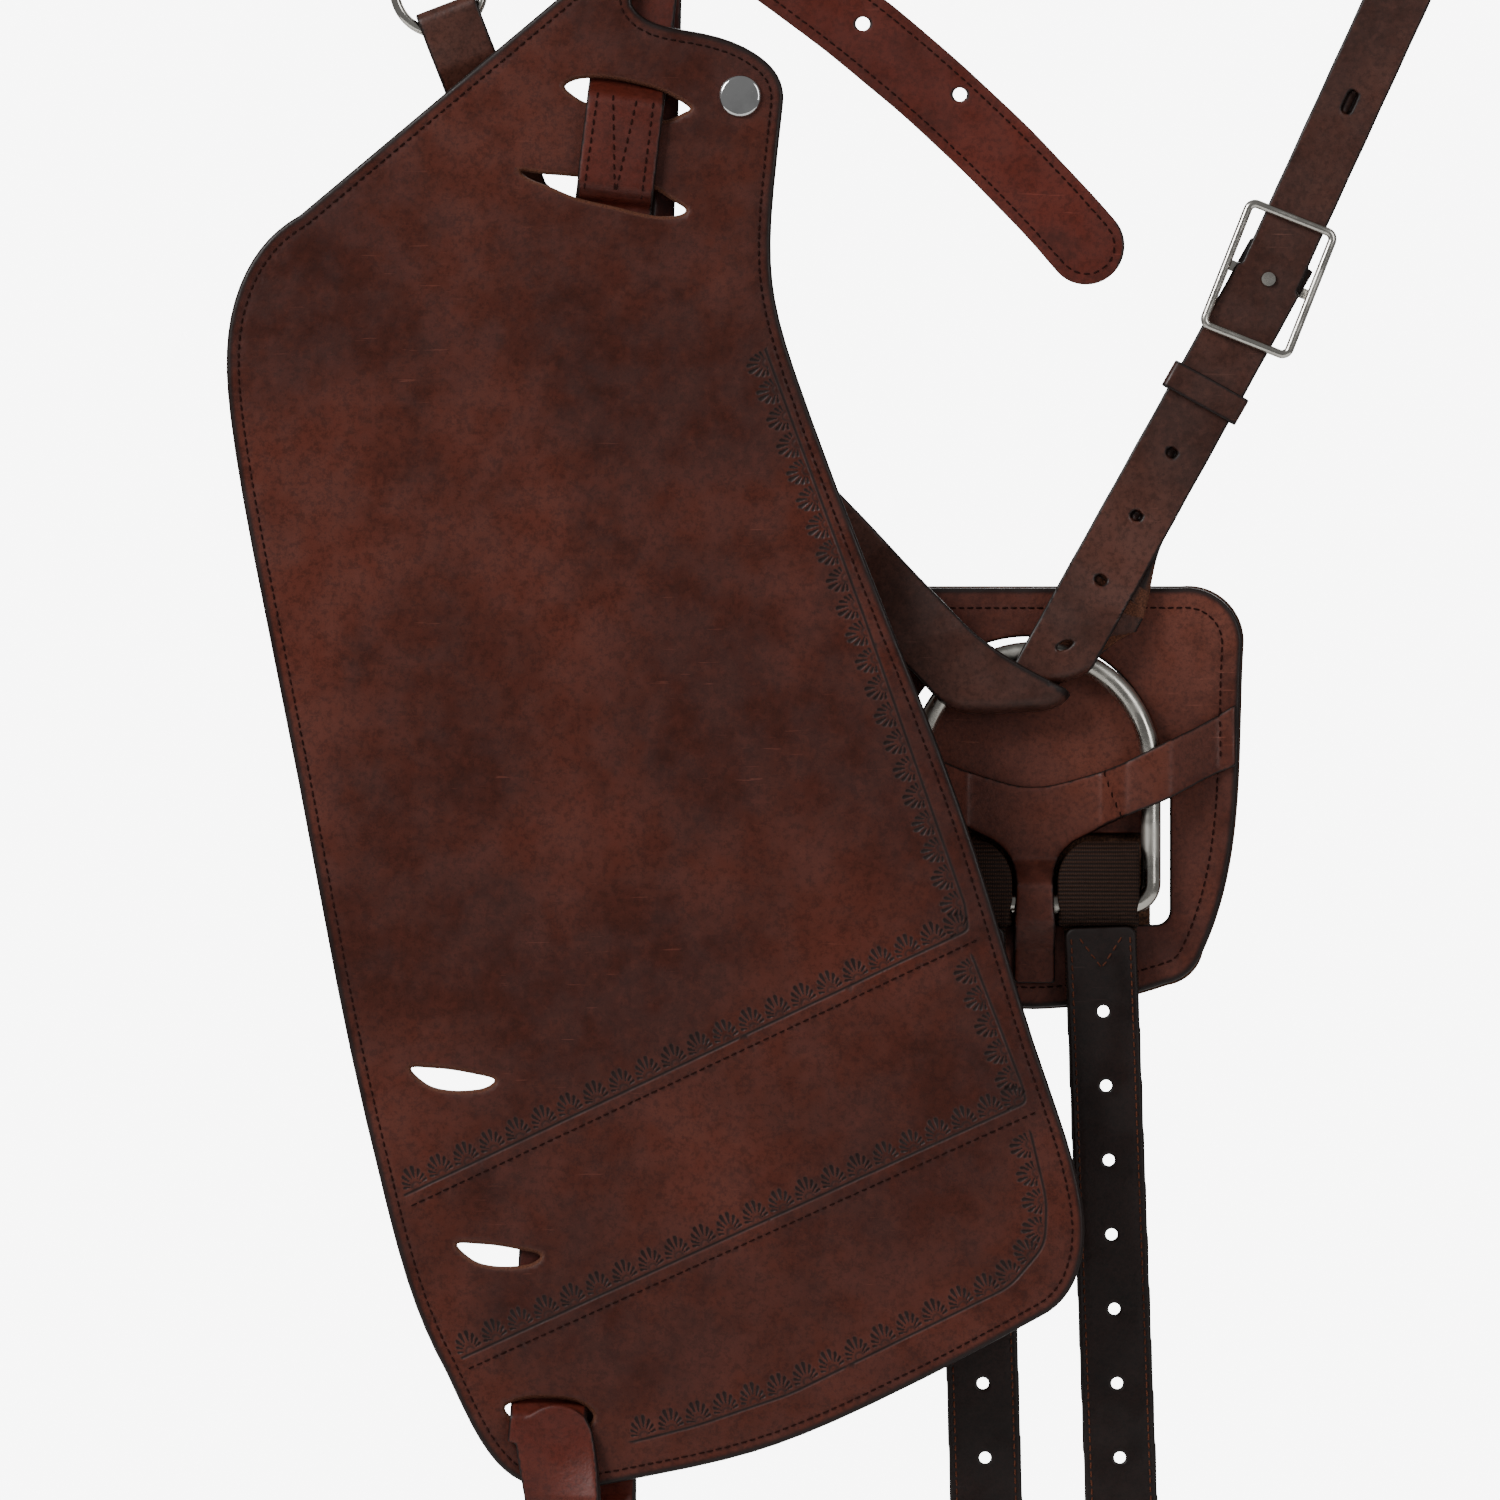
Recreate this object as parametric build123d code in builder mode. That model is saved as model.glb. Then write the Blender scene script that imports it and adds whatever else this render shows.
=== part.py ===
"""Near-side fender, stirrup leather and girth rigging of a stock saddle.

Millimetres.  +Z is up, +X runs from the horse's head to its tail, and -Y points
away from the horse.  The origin lies on the saddle tree's side face, midway
between the two screws of the stirrup bar.  "Depth" is the distance out from that
face, so a depth of 10 is y = -10.
"""
from build123d import *
import os
from math import atan2, cos, degrees, hypot, radians, sin

os.makedirs("parts", exist_ok=True)

# ---------------------------------------------------------------- driving sizes
STRAP_GAP = 0.3            # air between neighbouring plies

# fender
LINING_BACK = 36.0         # depth of the fender's back face
LINING_THICK = 1.2
SKIN_THICK = 3.4
SKIN_BACK = LINING_BACK + LINING_THICK
SKIN_FRONT = SKIN_BACK + SKIN_THICK

# stirrup leather
LEATHER_WIDTH = 32.0
LEATHER_THICK = 4.7
PLY = 2.4                  # one ply of the chape
BEHIND_FENDER = LINING_BACK - 0.4 - LEATHER_THICK / 2
BEFORE_FENDER = SKIN_FRONT + STRAP_GAP + LEATHER_THICK / 2
BACK_RUN = BEHIND_FENDER - LEATHER_THICK - 0.6
SPLIT_Z = -99.2            # height of the leather's sideways pivot
SPLIT_GAP = 3.5

# stirrup bar
BAR_DEPTH = 14.0
BAR_R = 5.0
BAR_HALF = 30.0
BAR_SCREWS = 80.0          # between the two screw holes
SCREW_R = 2.75
BAR_FOOT = (26, 16, 3, 2.5)          # width, height, corner and thickness of each screw foot
BAR_ARM = (8, 13)
BAR_FOOT_INSET = 5           # from a screw hole in to the middle of its foot

# girth rings, straps and clips
RING_DEPTH = 9.0
RING_R = 18.4              # to the middle of the wire
RING_WIRE = 2.1
STRAP_WIDTH = 29.5
STRAP_THICK = 2.9
FRONT_RING = (-85.8, -117.9)
REAR_RING = (337.1, -68.0)
CLIP_LENGTH = 10.0
CLIP_BORE = 3.0
CLIP_WALL = 1.3
CLIP_SHANK = 2.5
CLIP_FOOT = (30, 21, 4, 2)           # width, height, corner and thickness
CLIP_FOOT_UP = 12                    # from the eye up to the middle of the foot
CLIP_SCREW_UP = 14
CLIP_SCREWS = 18                     # between the two screw holes

# dee ring
DEE = (161.6, -441.3)      # centre of its arc
DEE_DEPTH = 5.35
DEE_R = 48.3               # to the middle of the wire
DEE_WIRE = 4.15
DEE_BAR_Z = -497.9
DEE_CORNER = 9.0

# ring plate
PLATE_FRONT = -2.3
PLATE_TOP = -366.5
PLATE_BOTTOM = -541.0
PLATE_HALF = 86.5
PLATE_FACE = 3.5
PLATE_BACKING = 2.2
PLATE_TOP_CORNER = ((26, 0), (7, 6.5), (0, 23))              # in from the side, down from the top
PLATE_SIDE = ((0, 23), (2, 80), (9, 130), (17, 152))
PLATE_FOOT_CORNER = (23, 14)                                 # in from the side, up from the foot
PLATE_FOOT = ((32, 10), (58, 3))
WINDOW_R = 54.3            # round the dee's arc
WINDOW_SHIFT = (-2.6, 0.2)           # from the dee's middle to the window's
WINDOW_HALF = 56.4         # half its width beside the dee's legs
WINDOW_FOOT = -506.5
WINDOW_CORNER = 6
ISLAND_FOOT = -469.0       # lower edge of the leather left inside the dee
WINDOW_STEM = 18           # width of the leather between the two billets

# billets
BILLET_WIDTH = 29.3
BILLET_LENGTH = 400.0
BILLET_TOP = -507.4
BILLET_LEATHER = 4.0
BILLET_WEBBING = 1.6
BILLET_FRONT = 9.0
HOLE_R = 2.5
HOLE_PITCH = 30.9
HOLE_FIRST = 35.0
HOLES = 11
WEBBING_THICK = 4.4
WEBBING_WIDTH = 34.0

# buckles
STIRRUP_BUCKLE_DEPTH = 25.0
STIRRUP_BUCKLE_WIRE = 2.5
STIRRUP_BUCKLE_TOP = -24.8
STIRRUP_BUCKLE_FOOT = -53.7
STIRRUP_BUCKLE_HALF = 20.0
STIRRUP_BUCKLE_CORNER = 4
POST_BUCKLE = (258.7, -238.4)
POST_BUCKLE_SIZE = (37.4, 54.4)      # between the middles of its wires
POST_BUCKLE_WIRE = 1.8
POST_BUCKLE_DEPTH = 9.55
POST_BUCKLE_CORNER = 3.2


# --------------------------------------------------------------------- helpers
def face_plane(depth):
    """The upright plane at one depth: sketch x is X and sketch y is Z."""
    return Plane.XZ.offset(depth)


def run_plane(start, end):
    """A plane along a strap: sketch x runs from start to end, sketch y is depth."""
    dx, dz = end[0] - start[0], end[1] - start[1]
    length = hypot(dx, dz)
    dx, dz = dx / length, dz / length
    return Plane(origin=(start[0], 0, start[1]), x_dir=(dx, 0, dz), z_dir=(dz, 0, -dx))


def along(start, end, distance):
    """The point a distance from start towards end."""
    length = hypot(end[0] - start[0], end[1] - start[1])
    return tuple(a + (b - a) * distance / length for a, b in zip(start, end))


def distance(start, end):
    return hypot(end[0] - start[0], end[1] - start[1])


def strap_run(plane, path, radii, thick, width):
    """A strap bent along a path of (distance, depth) points in a run's plane."""
    with BuildSketch(plane) as section:
        with BuildLine():
            if len(path) > 2:
                FilletPolyline(*path, radius=radii)
            else:
                Line(*path)
        trace(line_width=thick)
    extrude(section.sketch, amount=width / 2, both=True)


def save(name, builder):
    builder.part.label = name
    export_step(builder.part, f"parts/{name}.step")


# ---------------------------------------------------------------- stirrup bar
with BuildPart() as stirrup_bar:
    with Locations((0, -BAR_DEPTH, 0)):
        Cylinder(BAR_R, 2 * BAR_HALF, rotation=(0, 90, 0))
    foot_width, foot_height, foot_corner, foot_thick = BAR_FOOT
    for side in (-1, 1):
        with BuildSketch(face_plane(foot_thick)):
            with Locations((side * (BAR_HALF - BAR_ARM[0] / 2), 0)):
                Rectangle(*BAR_ARM)
        extrude(amount=BAR_DEPTH - foot_thick)
        with BuildSketch(face_plane(0)):
            with Locations((side * (BAR_SCREWS / 2 - BAR_FOOT_INSET), 0)):
                RectangleRounded(foot_width, foot_height, foot_corner)
            with Locations((side * BAR_SCREWS / 2, 0)):
                Circle(SCREW_R, mode=Mode.SUBTRACT)
        extrude(amount=foot_thick)
save("stirrup_bar", stirrup_bar)


# ------------------------------------------------- rings and the clips above
axis_x, axis_z = along((0, 0), (REAR_RING[0] - FRONT_RING[0], REAR_RING[1] - FRONT_RING[1]), 1)


def ring(centre):
    with BuildPart() as wire_ring:
        with Locations((centre[0], -RING_DEPTH, centre[1])):
            Torus(RING_R, RING_WIRE, rotation=(90, 0, 0))
    return wire_ring


def ring_clip(centre):
    """An eye round the top of the ring, on a foot with two screw holes."""
    top = (centre[0] - axis_z * RING_R, centre[1] + axis_x * RING_R)
    end_plane = Plane(
        origin=(top[0], 0, top[1]), x_dir=(-axis_z, 0, axis_x), z_dir=(axis_x, 0, axis_z)
    )
    foot_plane = Plane(origin=(top[0], 0, top[1]), x_dir=(1, 0, 0), z_dir=(0, -1, 0))
    eye_r = CLIP_BORE + CLIP_WALL
    with BuildPart() as clip:
        with BuildSketch(end_plane):
            with Locations((0, RING_DEPTH)):
                Circle(eye_r)
            with Locations((eye_r - CLIP_SHANK / 2, RING_DEPTH / 2)):
                Rectangle(CLIP_SHANK, RING_DEPTH)
            with Locations((0, RING_DEPTH)):
                Circle(CLIP_BORE, mode=Mode.SUBTRACT)
        extrude(amount=CLIP_LENGTH / 2, both=True)
        with BuildSketch(foot_plane):
            with Locations((0, CLIP_FOOT_UP)):
                RectangleRounded(*CLIP_FOOT[:3])
            with Locations(*[(side * CLIP_SCREWS / 2, CLIP_SCREW_UP) for side in (-1, 1)]):
                Circle(SCREW_R, mode=Mode.SUBTRACT)
        extrude(amount=CLIP_FOOT[3])
    return clip


save("front_ring", ring(FRONT_RING))
save("rear_ring", ring(REAR_RING))
save("front_ring_clip", ring_clip(FRONT_RING))
save("rear_ring_clip", ring_clip(REAR_RING))


# --------------------------------------------------------------- the dee ring
dee_left, dee_right = DEE[0] - DEE_R, DEE[0] + DEE_R
with BuildPart() as dee_ring:
    with BuildLine(face_plane(DEE_DEPTH)) as dee_path:
        RadiusArc((dee_left, DEE[1]), (dee_right, DEE[1]), DEE_R)
        Line((dee_right, DEE[1]), (dee_right, DEE_BAR_Z + DEE_CORNER))
        RadiusArc(
            (dee_right, DEE_BAR_Z + DEE_CORNER), (dee_right - DEE_CORNER, DEE_BAR_Z), DEE_CORNER
        )
        Line((dee_right - DEE_CORNER, DEE_BAR_Z), (dee_left + DEE_CORNER, DEE_BAR_Z))
        RadiusArc(
            (dee_left + DEE_CORNER, DEE_BAR_Z), (dee_left, DEE_BAR_Z + DEE_CORNER), DEE_CORNER
        )
        Line((dee_left, DEE_BAR_Z + DEE_CORNER), (dee_left, DEE[1]))
    with BuildSketch(Plane(origin=dee_path.line @ 0, z_dir=dee_path.line % 0)):
        Circle(DEE_WIRE)
    sweep()
save("dee_ring", dee_ring)


# ------------------------------------------------------------- the ring plate
def plate_sketch(back, margin, island_foot):
    """The plate's outline, with a D-shaped window a little larger than the dee.

    An island fills the inside of the dee, and a stem joins it to the lower edge.
    """
    x0, z0 = DEE
    top, side, bottom = PLATE_TOP + margin, x0 + PLATE_HALF + margin, PLATE_BOTTOM - margin
    corner = [(side - x, top - z) for x, z in PLATE_TOP_CORNER]
    flank = [(side - x, top - z) for x, z in PLATE_SIDE]
    heel = (side - PLATE_FOOT_CORNER[0], bottom + PLATE_FOOT_CORNER[1])
    sole = [(side - x, bottom + z) for x, z in PLATE_FOOT]
    with BuildSketch(face_plane(back)) as sheet:
        with BuildLine():
            Line((x0, top), corner[0])
            ThreePointArc(*corner)
            Spline(*flank)
            ThreePointArc(flank[-1], heel, sole[0])
            Spline(*sole, (x0, bottom))
            mirror(about=Plane.YZ.offset(x0))
        make_face()
        with Locations((x0 + WINDOW_SHIFT[0], z0 + WINDOW_SHIFT[1])):
            Circle(WINDOW_R, mode=Mode.SUBTRACT)
        with Locations((x0, (z0 + WINDOW_FOOT) / 2)):
            RectangleRounded(2 * WINDOW_HALF, z0 - WINDOW_FOOT, WINDOW_CORNER, mode=Mode.SUBTRACT)
        with Locations(DEE):
            Circle(DEE_R)
        with Locations((x0, (z0 + island_foot) / 2)):
            Rectangle(2 * DEE_R, z0 - island_foot)
        if island_foot > WINDOW_FOOT:
            with Locations((x0, (WINDOW_FOOT + island_foot) / 2)):
                Rectangle(2 * DEE_R, island_foot - WINDOW_FOOT, mode=Mode.SUBTRACT)
        with Locations((x0, (WINDOW_FOOT + z0) / 2 - 2)):
            Rectangle(WINDOW_STEM, z0 - WINDOW_FOOT + 4)
    return sheet.sketch


for name, back, thick, margin, island_foot in (
    ("plate_face", PLATE_FRONT - PLATE_FACE, PLATE_FACE, 0.0, ISLAND_FOOT),
    ("plate_backing", PLATE_FRONT - PLATE_FACE - PLATE_BACKING, PLATE_BACKING, 0.8, WINDOW_FOOT - 1),
):
    with BuildPart() as ply:
        extrude(plate_sketch(back, margin, island_foot), amount=thick)
    save(name, ply)


# ------------------------------------------------- leather that holds the dee
RETAINER_THICK = 2.6
RETAINER_LOW = PLATE_FRONT + RETAINER_THICK / 2 + 0.1
RETAINER_HIGH = DEE_DEPTH + DEE_WIRE + STRAP_GAP + RETAINER_THICK / 2
HUMP_BEND = 3                      # radius of the folds beside the dee's wire
# edges of the band's right half: distance out from its middle, and height
BAND_TOP = ((0, -449), (4, -448.9), (16, -446.2), (31.6, -441.1), (47.1, -433.9), (71.9, -421.5),
            (84, -414.4))
BAND_FOOT = ((84, -440.5), (71.9, -445.9), (55.3, -454.5), (35.7, -462.5), (28.3, -466.1),
             (20, -468.5), (0, -468.5))
BAND_HEIGHT = 120                  # cut down to the band's outline afterwards
STEM_TOP = -455.0
STEM_FOOT = -531.0
STEM_HALF = 8.7
# the arch from the band down to the stem, over the webbing
STEM_ARCH = ((28.3, -466.1), (22.3, -469.4), (14.8, -473.6), (9.9, -480.2), (8.3, -488.4),
             (8.4, -500), (STEM_HALF, -516.5))


def cut_to(*lines):
    """Keep only what lies inside an outline, given as the edges of its right half."""
    x0 = DEE[0]
    with BuildSketch(face_plane(PLATE_FRONT)) as outline:
        with BuildLine():
            for kind, points in lines:
                kind(*[(x0 + x, z) for x, z in points])
            mirror(about=Plane.YZ.offset(x0))
        make_face()
    extrude(outline.sketch, amount=30, mode=Mode.INTERSECT)


def retainer_band():
    """The band across the dee: flat on the island and humped over each leg."""
    x0 = DEE[0]
    leg = x0 + DEE_R
    path = [(leg - 20, RETAINER_LOW), (leg - 9.5, RETAINER_HIGH), (leg + 7.5, RETAINER_HIGH),
            (leg + 28, RETAINER_LOW), (x0 + PLATE_HALF - 2, RETAINER_LOW)]
    mirrored = [(2 * x0 - x, depth) for x, depth in reversed(path)]
    middle = (BAND_TOP[0][1] + BAND_FOOT[0][1]) / 2
    with BuildPart() as band:
        strap_run(
            run_plane((0, middle), (1, middle)), mirrored + path, HUMP_BEND, RETAINER_THICK,
            BAND_HEIGHT,
        )
        cut_to((Spline, BAND_TOP), (Line, (BAND_TOP[-1], BAND_FOOT[0])), (Spline, BAND_FOOT))
    return band.part


def retainer_stem():
    """The stem between the billets, humped over the dee's lower bar."""
    x0 = DEE[0]
    bar = STEM_TOP - DEE_BAR_Z
    path = [(0, RETAINER_LOW), (bar - 18, RETAINER_LOW), (bar - 7.5, RETAINER_HIGH),
            (bar + 7.5, RETAINER_HIGH), (bar + 18, RETAINER_LOW),
            (STEM_TOP - STEM_FOOT, RETAINER_LOW)]
    with BuildPart() as stem:
        strap_run(
            run_plane((x0, STEM_TOP), (x0, STEM_FOOT)), path, HUMP_BEND, RETAINER_THICK,
            2 * STEM_ARCH[0][0],
        )
        cut_to(
            (Polyline, ((0, STEM_TOP), (STEM_ARCH[0][0], STEM_TOP), STEM_ARCH[0])),
            (Spline, STEM_ARCH),
            (Polyline, (STEM_ARCH[-1], (STEM_HALF, STEM_FOOT), (0, STEM_FOOT))),
        )
    return stem.part


with BuildPart() as ring_retainer:
    add(retainer_band())
    add(retainer_stem())
save("ring_retainer", ring_retainer)


# --------------------------------------------------------- front rigging strap
RING_FOLD = RING_WIRE + STRAP_GAP + STRAP_THICK / 2      # wire's middle to ply's middle
DEE_FOLD = DEE_WIRE + STRAP_GAP + STRAP_THICK / 2
BACK_PLY = 2.9                                           # depths of the sewn plies' middles
FACE_PLY = BACK_PLY + STRAP_THICK + STRAP_GAP
RING_BEND = 6                                            # radii where the plies draw together
DEE_BEND = 12
NARROWED = 3.5                                           # a strap is this much narrower at a ring
UNDER_FOLD = 0.95                                        # share of a fold's radius, so arcs never meet
RING_BENDS = 2 * [RING_BEND] + 2 * [RING_FOLD * UNDER_FOLD] + 2 * [RING_BEND]
FRONT_LEAVES = (0.354, -0.935)                           # way the front strap leaves its ring
REAR_LEAVES = (-0.423, -0.906)
FRONT_BEND = (-51.2, -209.1)
FRONT_END = (131.8, -402.5)
FRONT_OVER_DEE = 14.55                                   # outside the rear strap's face ply
FRONT_UNDER_DEE = -0.55


def from_ring(ring_centre, leaves):
    """Where a strap leaves the lower side of a ring."""
    toward = (ring_centre[0] + leaves[0], ring_centre[1] + leaves[1])
    return along(ring_centre, toward, RING_R)


front_start = from_ring(FRONT_RING, FRONT_LEAVES)
with BuildPart() as front_strap:
    upper = run_plane(front_start, FRONT_BEND)
    length = distance(front_start, FRONT_BEND)
    over, under = RING_DEPTH + RING_FOLD, RING_DEPTH - RING_FOLD
    strap_run(
        upper,
        [(length, FACE_PLY), (28, FACE_PLY), (14, over), (-10.2, over), (-10.2, under), (14, under),
         (28, BACK_PLY), (length, BACK_PLY)],
        RING_BENDS, STRAP_THICK, STRAP_WIDTH - NARROWED,
    )
    lower = run_plane(FRONT_BEND, FRONT_END)
    length = distance(FRONT_BEND, FRONT_END)
    turn = (FRONT_OVER_DEE - FRONT_UNDER_DEE) / 2 * UNDER_FOLD
    strap_run(
        lower,
        [(0, FACE_PLY), (length - 62, FACE_PLY), (length - 22, FRONT_OVER_DEE),
         (length + 21, FRONT_OVER_DEE), (length + 21, FRONT_UNDER_DEE),
         (length - 8, FRONT_UNDER_DEE), (length - 30, BACK_PLY), (0, BACK_PLY)],
        [DEE_BEND, DEE_BEND, turn, turn, DEE_BEND, DEE_BEND], STRAP_THICK, STRAP_WIDTH,
    )
    for ply_depth in (FACE_PLY, BACK_PLY):
        with BuildSketch(face_plane(ply_depth - STRAP_THICK / 2)):
            with Locations(FRONT_BEND):
                Circle(STRAP_WIDTH / 2 - 1.5)
        extrude(amount=STRAP_THICK)
save("front_strap", front_strap)


# ---------------------------------------------------------- rear rigging strap
REAR_FOOT = (169.4, -398.8)
REAR_HOLES = (53.0, 82.5, 112.5, 143.0, 174.0)
POST_R = 2.0
REAR_SLOT_AT = 81.0        # from the buckle's post up to an oblong hole
REAR_SLOT = (10.7, 4.2)
rear_top = from_ring(REAR_RING, REAR_LEAVES)
rear_length = distance(POST_BUCKLE, REAR_FOOT)
upper_length = distance(POST_BUCKLE, rear_top)

with BuildPart() as rear_strap:
    over, under = RING_DEPTH + RING_FOLD, RING_DEPTH - RING_FOLD
    upper = run_plane(POST_BUCKLE, rear_top)
    strap_run(
        upper,
        [(0, FACE_PLY), (upper_length - 28, FACE_PLY), (upper_length - 14, over),
         (upper_length + 10.2, over), (upper_length + 10.2, under), (upper_length - 14, under),
         (upper_length - 28, BACK_PLY), (34, BACK_PLY)],
        RING_BENDS, STRAP_THICK, STRAP_WIDTH - NARROWED,
    )
    over, under = DEE_DEPTH + DEE_FOLD, DEE_DEPTH - DEE_FOLD
    turn = DEE_FOLD * UNDER_FOLD
    lower = run_plane(POST_BUCKLE, REAR_FOOT)
    strap_run(
        lower,
        [(0, FACE_PLY), (rear_length - 42, FACE_PLY), (rear_length - 20, over),
         (rear_length + 9.5, over), (rear_length + 9.5, under), (rear_length - 20, under),
         (rear_length - 42, BACK_PLY), (-12, BACK_PLY)],
        [DEE_BEND, DEE_BEND, turn, turn, DEE_BEND, DEE_BEND], STRAP_THICK, STRAP_WIDTH,
    )
    with BuildSketch(face_plane(FACE_PLY - STRAP_THICK / 2)):
        with Locations(POST_BUCKLE):
            Circle(STRAP_WIDTH / 2 - 1.75)
    extrude(amount=STRAP_THICK)
    slot_at = along(POST_BUCKLE, rear_top, REAR_SLOT_AT)
    slot_tilt = degrees(atan2(rear_top[1] - POST_BUCKLE[1], rear_top[0] - POST_BUCKLE[0]))
    with BuildSketch(face_plane(FACE_PLY - STRAP_THICK)):
        with Locations(*[along(POST_BUCKLE, REAR_FOOT, s) for s in REAR_HOLES]):
            Circle(HOLE_R)
        with Locations(Location((slot_at[0], slot_at[1], 0), (0, 0, slot_tilt))):
            SlotOverall(*REAR_SLOT)
    extrude(amount=16, mode=Mode.SUBTRACT)
    with BuildSketch(face_plane(-5)):
        with Locations(POST_BUCKLE):
            Circle(POST_R + STRAP_GAP)
    extrude(amount=20, mode=Mode.SUBTRACT)
save("rear_strap", rear_strap)


# ------------------------------------------------------- post buckle and keeper
BUCKLE_TILT = 21.5         # the frame hangs a little more upright than the strap
buckle_plane = Plane(
    origin=(POST_BUCKLE[0], -POST_BUCKLE_DEPTH, POST_BUCKLE[1]),
    x_dir=(cos(radians(BUCKLE_TILT)), 0, -sin(radians(BUCKLE_TILT))),
    z_dir=(0, -1, 0),
)
half_width, half_height = POST_BUCKLE_SIZE[0] / 2, POST_BUCKLE_SIZE[1] / 2
with BuildPart() as strap_buckle_frame:
    with BuildLine(buckle_plane) as frame_path:
        FilletPolyline(
            (half_width, half_height), (half_width, -half_height), (-half_width, -half_height),
            (-half_width, half_height), radius=POST_BUCKLE_CORNER, close=True,
        )
    with BuildSketch(Plane(origin=frame_path.line @ 0, z_dir=frame_path.line % 0)):
        Circle(POST_BUCKLE_WIRE)
    sweep()
save("strap_buckle_frame", strap_buckle_frame)

POST_BAR = 1.6             # half the thickness of the bar behind the strap
POST_HEAD_R = 2.9
POST_HEAD = 1.0
BAR_BEHIND = BACK_PLY - STRAP_THICK / 2 - STRAP_GAP - POST_BAR
FACE_FRONT = FACE_PLY + STRAP_THICK / 2
with BuildPart() as strap_buckle_post:
    for side in (-1, 1):
        with BuildSketch(buckle_plane.offset(-POST_BUCKLE_WIRE)):
            with Locations((side * half_width, 0)):
                Circle(POST_BAR)
        extrude(amount=BAR_BEHIND - POST_BUCKLE_DEPTH + POST_BUCKLE_WIRE - POST_BAR)
    with BuildSketch(buckle_plane.offset(BAR_BEHIND - POST_BUCKLE_DEPTH - POST_BAR)):
        Rectangle(2 * (half_width + POST_BAR), 4.4)
    extrude(amount=2 * POST_BAR)
    with BuildSketch(buckle_plane.offset(BAR_BEHIND - POST_BUCKLE_DEPTH + POST_BAR)):
        Circle(POST_R)
    extrude(amount=FACE_FRONT + POST_HEAD - BAR_BEHIND - POST_BAR)
    with BuildSketch(buckle_plane.offset(FACE_FRONT + 0.1 - POST_BUCKLE_DEPTH)):
        Circle(POST_HEAD_R)
    extrude(amount=POST_HEAD)
save("strap_buckle_post", strap_buckle_post)

KEEPER_AT = 53.9
KEEPER_LONG = 12.0
KEEPER_WALL = 2.2
KEEPER_PLAY = 1.0
keeper_inner = (STRAP_WIDTH + KEEPER_PLAY, 2 * STRAP_THICK + STRAP_GAP + KEEPER_PLAY)
with BuildPart() as strap_keeper:
    keeper_at = along(POST_BUCKLE, REAR_FOOT, KEEPER_AT - KEEPER_LONG / 2)
    dx, dz = [(b - a) / rear_length for a, b in zip(POST_BUCKLE, REAR_FOOT)]
    middle = (FACE_PLY + BACK_PLY) / 2
    keeper_plane = Plane(
        origin=(keeper_at[0], -middle, keeper_at[1]), x_dir=(-dz, 0, dx), z_dir=(dx, 0, dz)
    )
    with BuildSketch(keeper_plane):
        RectangleRounded(keeper_inner[0] + 2 * KEEPER_WALL, keeper_inner[1] + 2 * KEEPER_WALL, 2.5)
        RectangleRounded(*keeper_inner, 0.8, mode=Mode.SUBTRACT)
    extrude(amount=KEEPER_LONG)
save("strap_keeper", strap_keeper)


# -------------------------------------------------------------------- billets
WEBBING_CROWN = 26.0       # height of the webbing loop above the middle of the dee's bar
BILLET_LEAN = {"front": 0.030, "rear": 0.037}
BILLET_SIDE = {"front": -1, "rear": 1}
BILLET_OFFSET = 27.2       # from the middle of the dee to the middle of a billet
BILLET_POINT = 22          # length of the rounded point
BILLET_CORNER = 4
WEBBING_INSIDE = 9.4       # from the middle of the dee to the webbing's near edge
WEBBING_PLAY = 0.4         # round the dee's bar
WEBBING_SHOWS = 0.6        # past each edge of the leather
WEBBING_SHOULDER = ((9.4, -488), (13.4, -477.4), (22, -471.4))       # rounded under the retainer's arch


def billet_plane(end, back):
    """Sketch x runs down the billet from its top, and sketch y across it."""
    top_x = DEE[0] + BILLET_SIDE[end] * BILLET_OFFSET
    lean = BILLET_LEAN[end]
    size = hypot(lean, 1)
    return Plane(
        origin=(top_x, -back, BILLET_TOP), x_dir=(lean / size, 0, -1 / size), z_dir=(0, -1, 0)
    )


def billet_ply(end, back, thick, width, start):
    """One ply of a billet, with a rounded point and its row of holes."""
    half = width / 2
    point = BILLET_LENGTH - BILLET_POINT
    with BuildSketch(billet_plane(end, back)) as outline:
        with BuildLine():
            Line((start, -half), (point, -half))
            ThreePointArc((point, -half), (BILLET_LENGTH, 0), (point, half))
            Polyline((point, half), (start, half), (start, -half))
        make_face()
        with Locations(*[(HOLE_FIRST + n * HOLE_PITCH, 0) for n in range(HOLES)]):
            Circle(HOLE_R, mode=Mode.SUBTRACT)
    extrude(outline.sketch, amount=thick)


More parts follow.
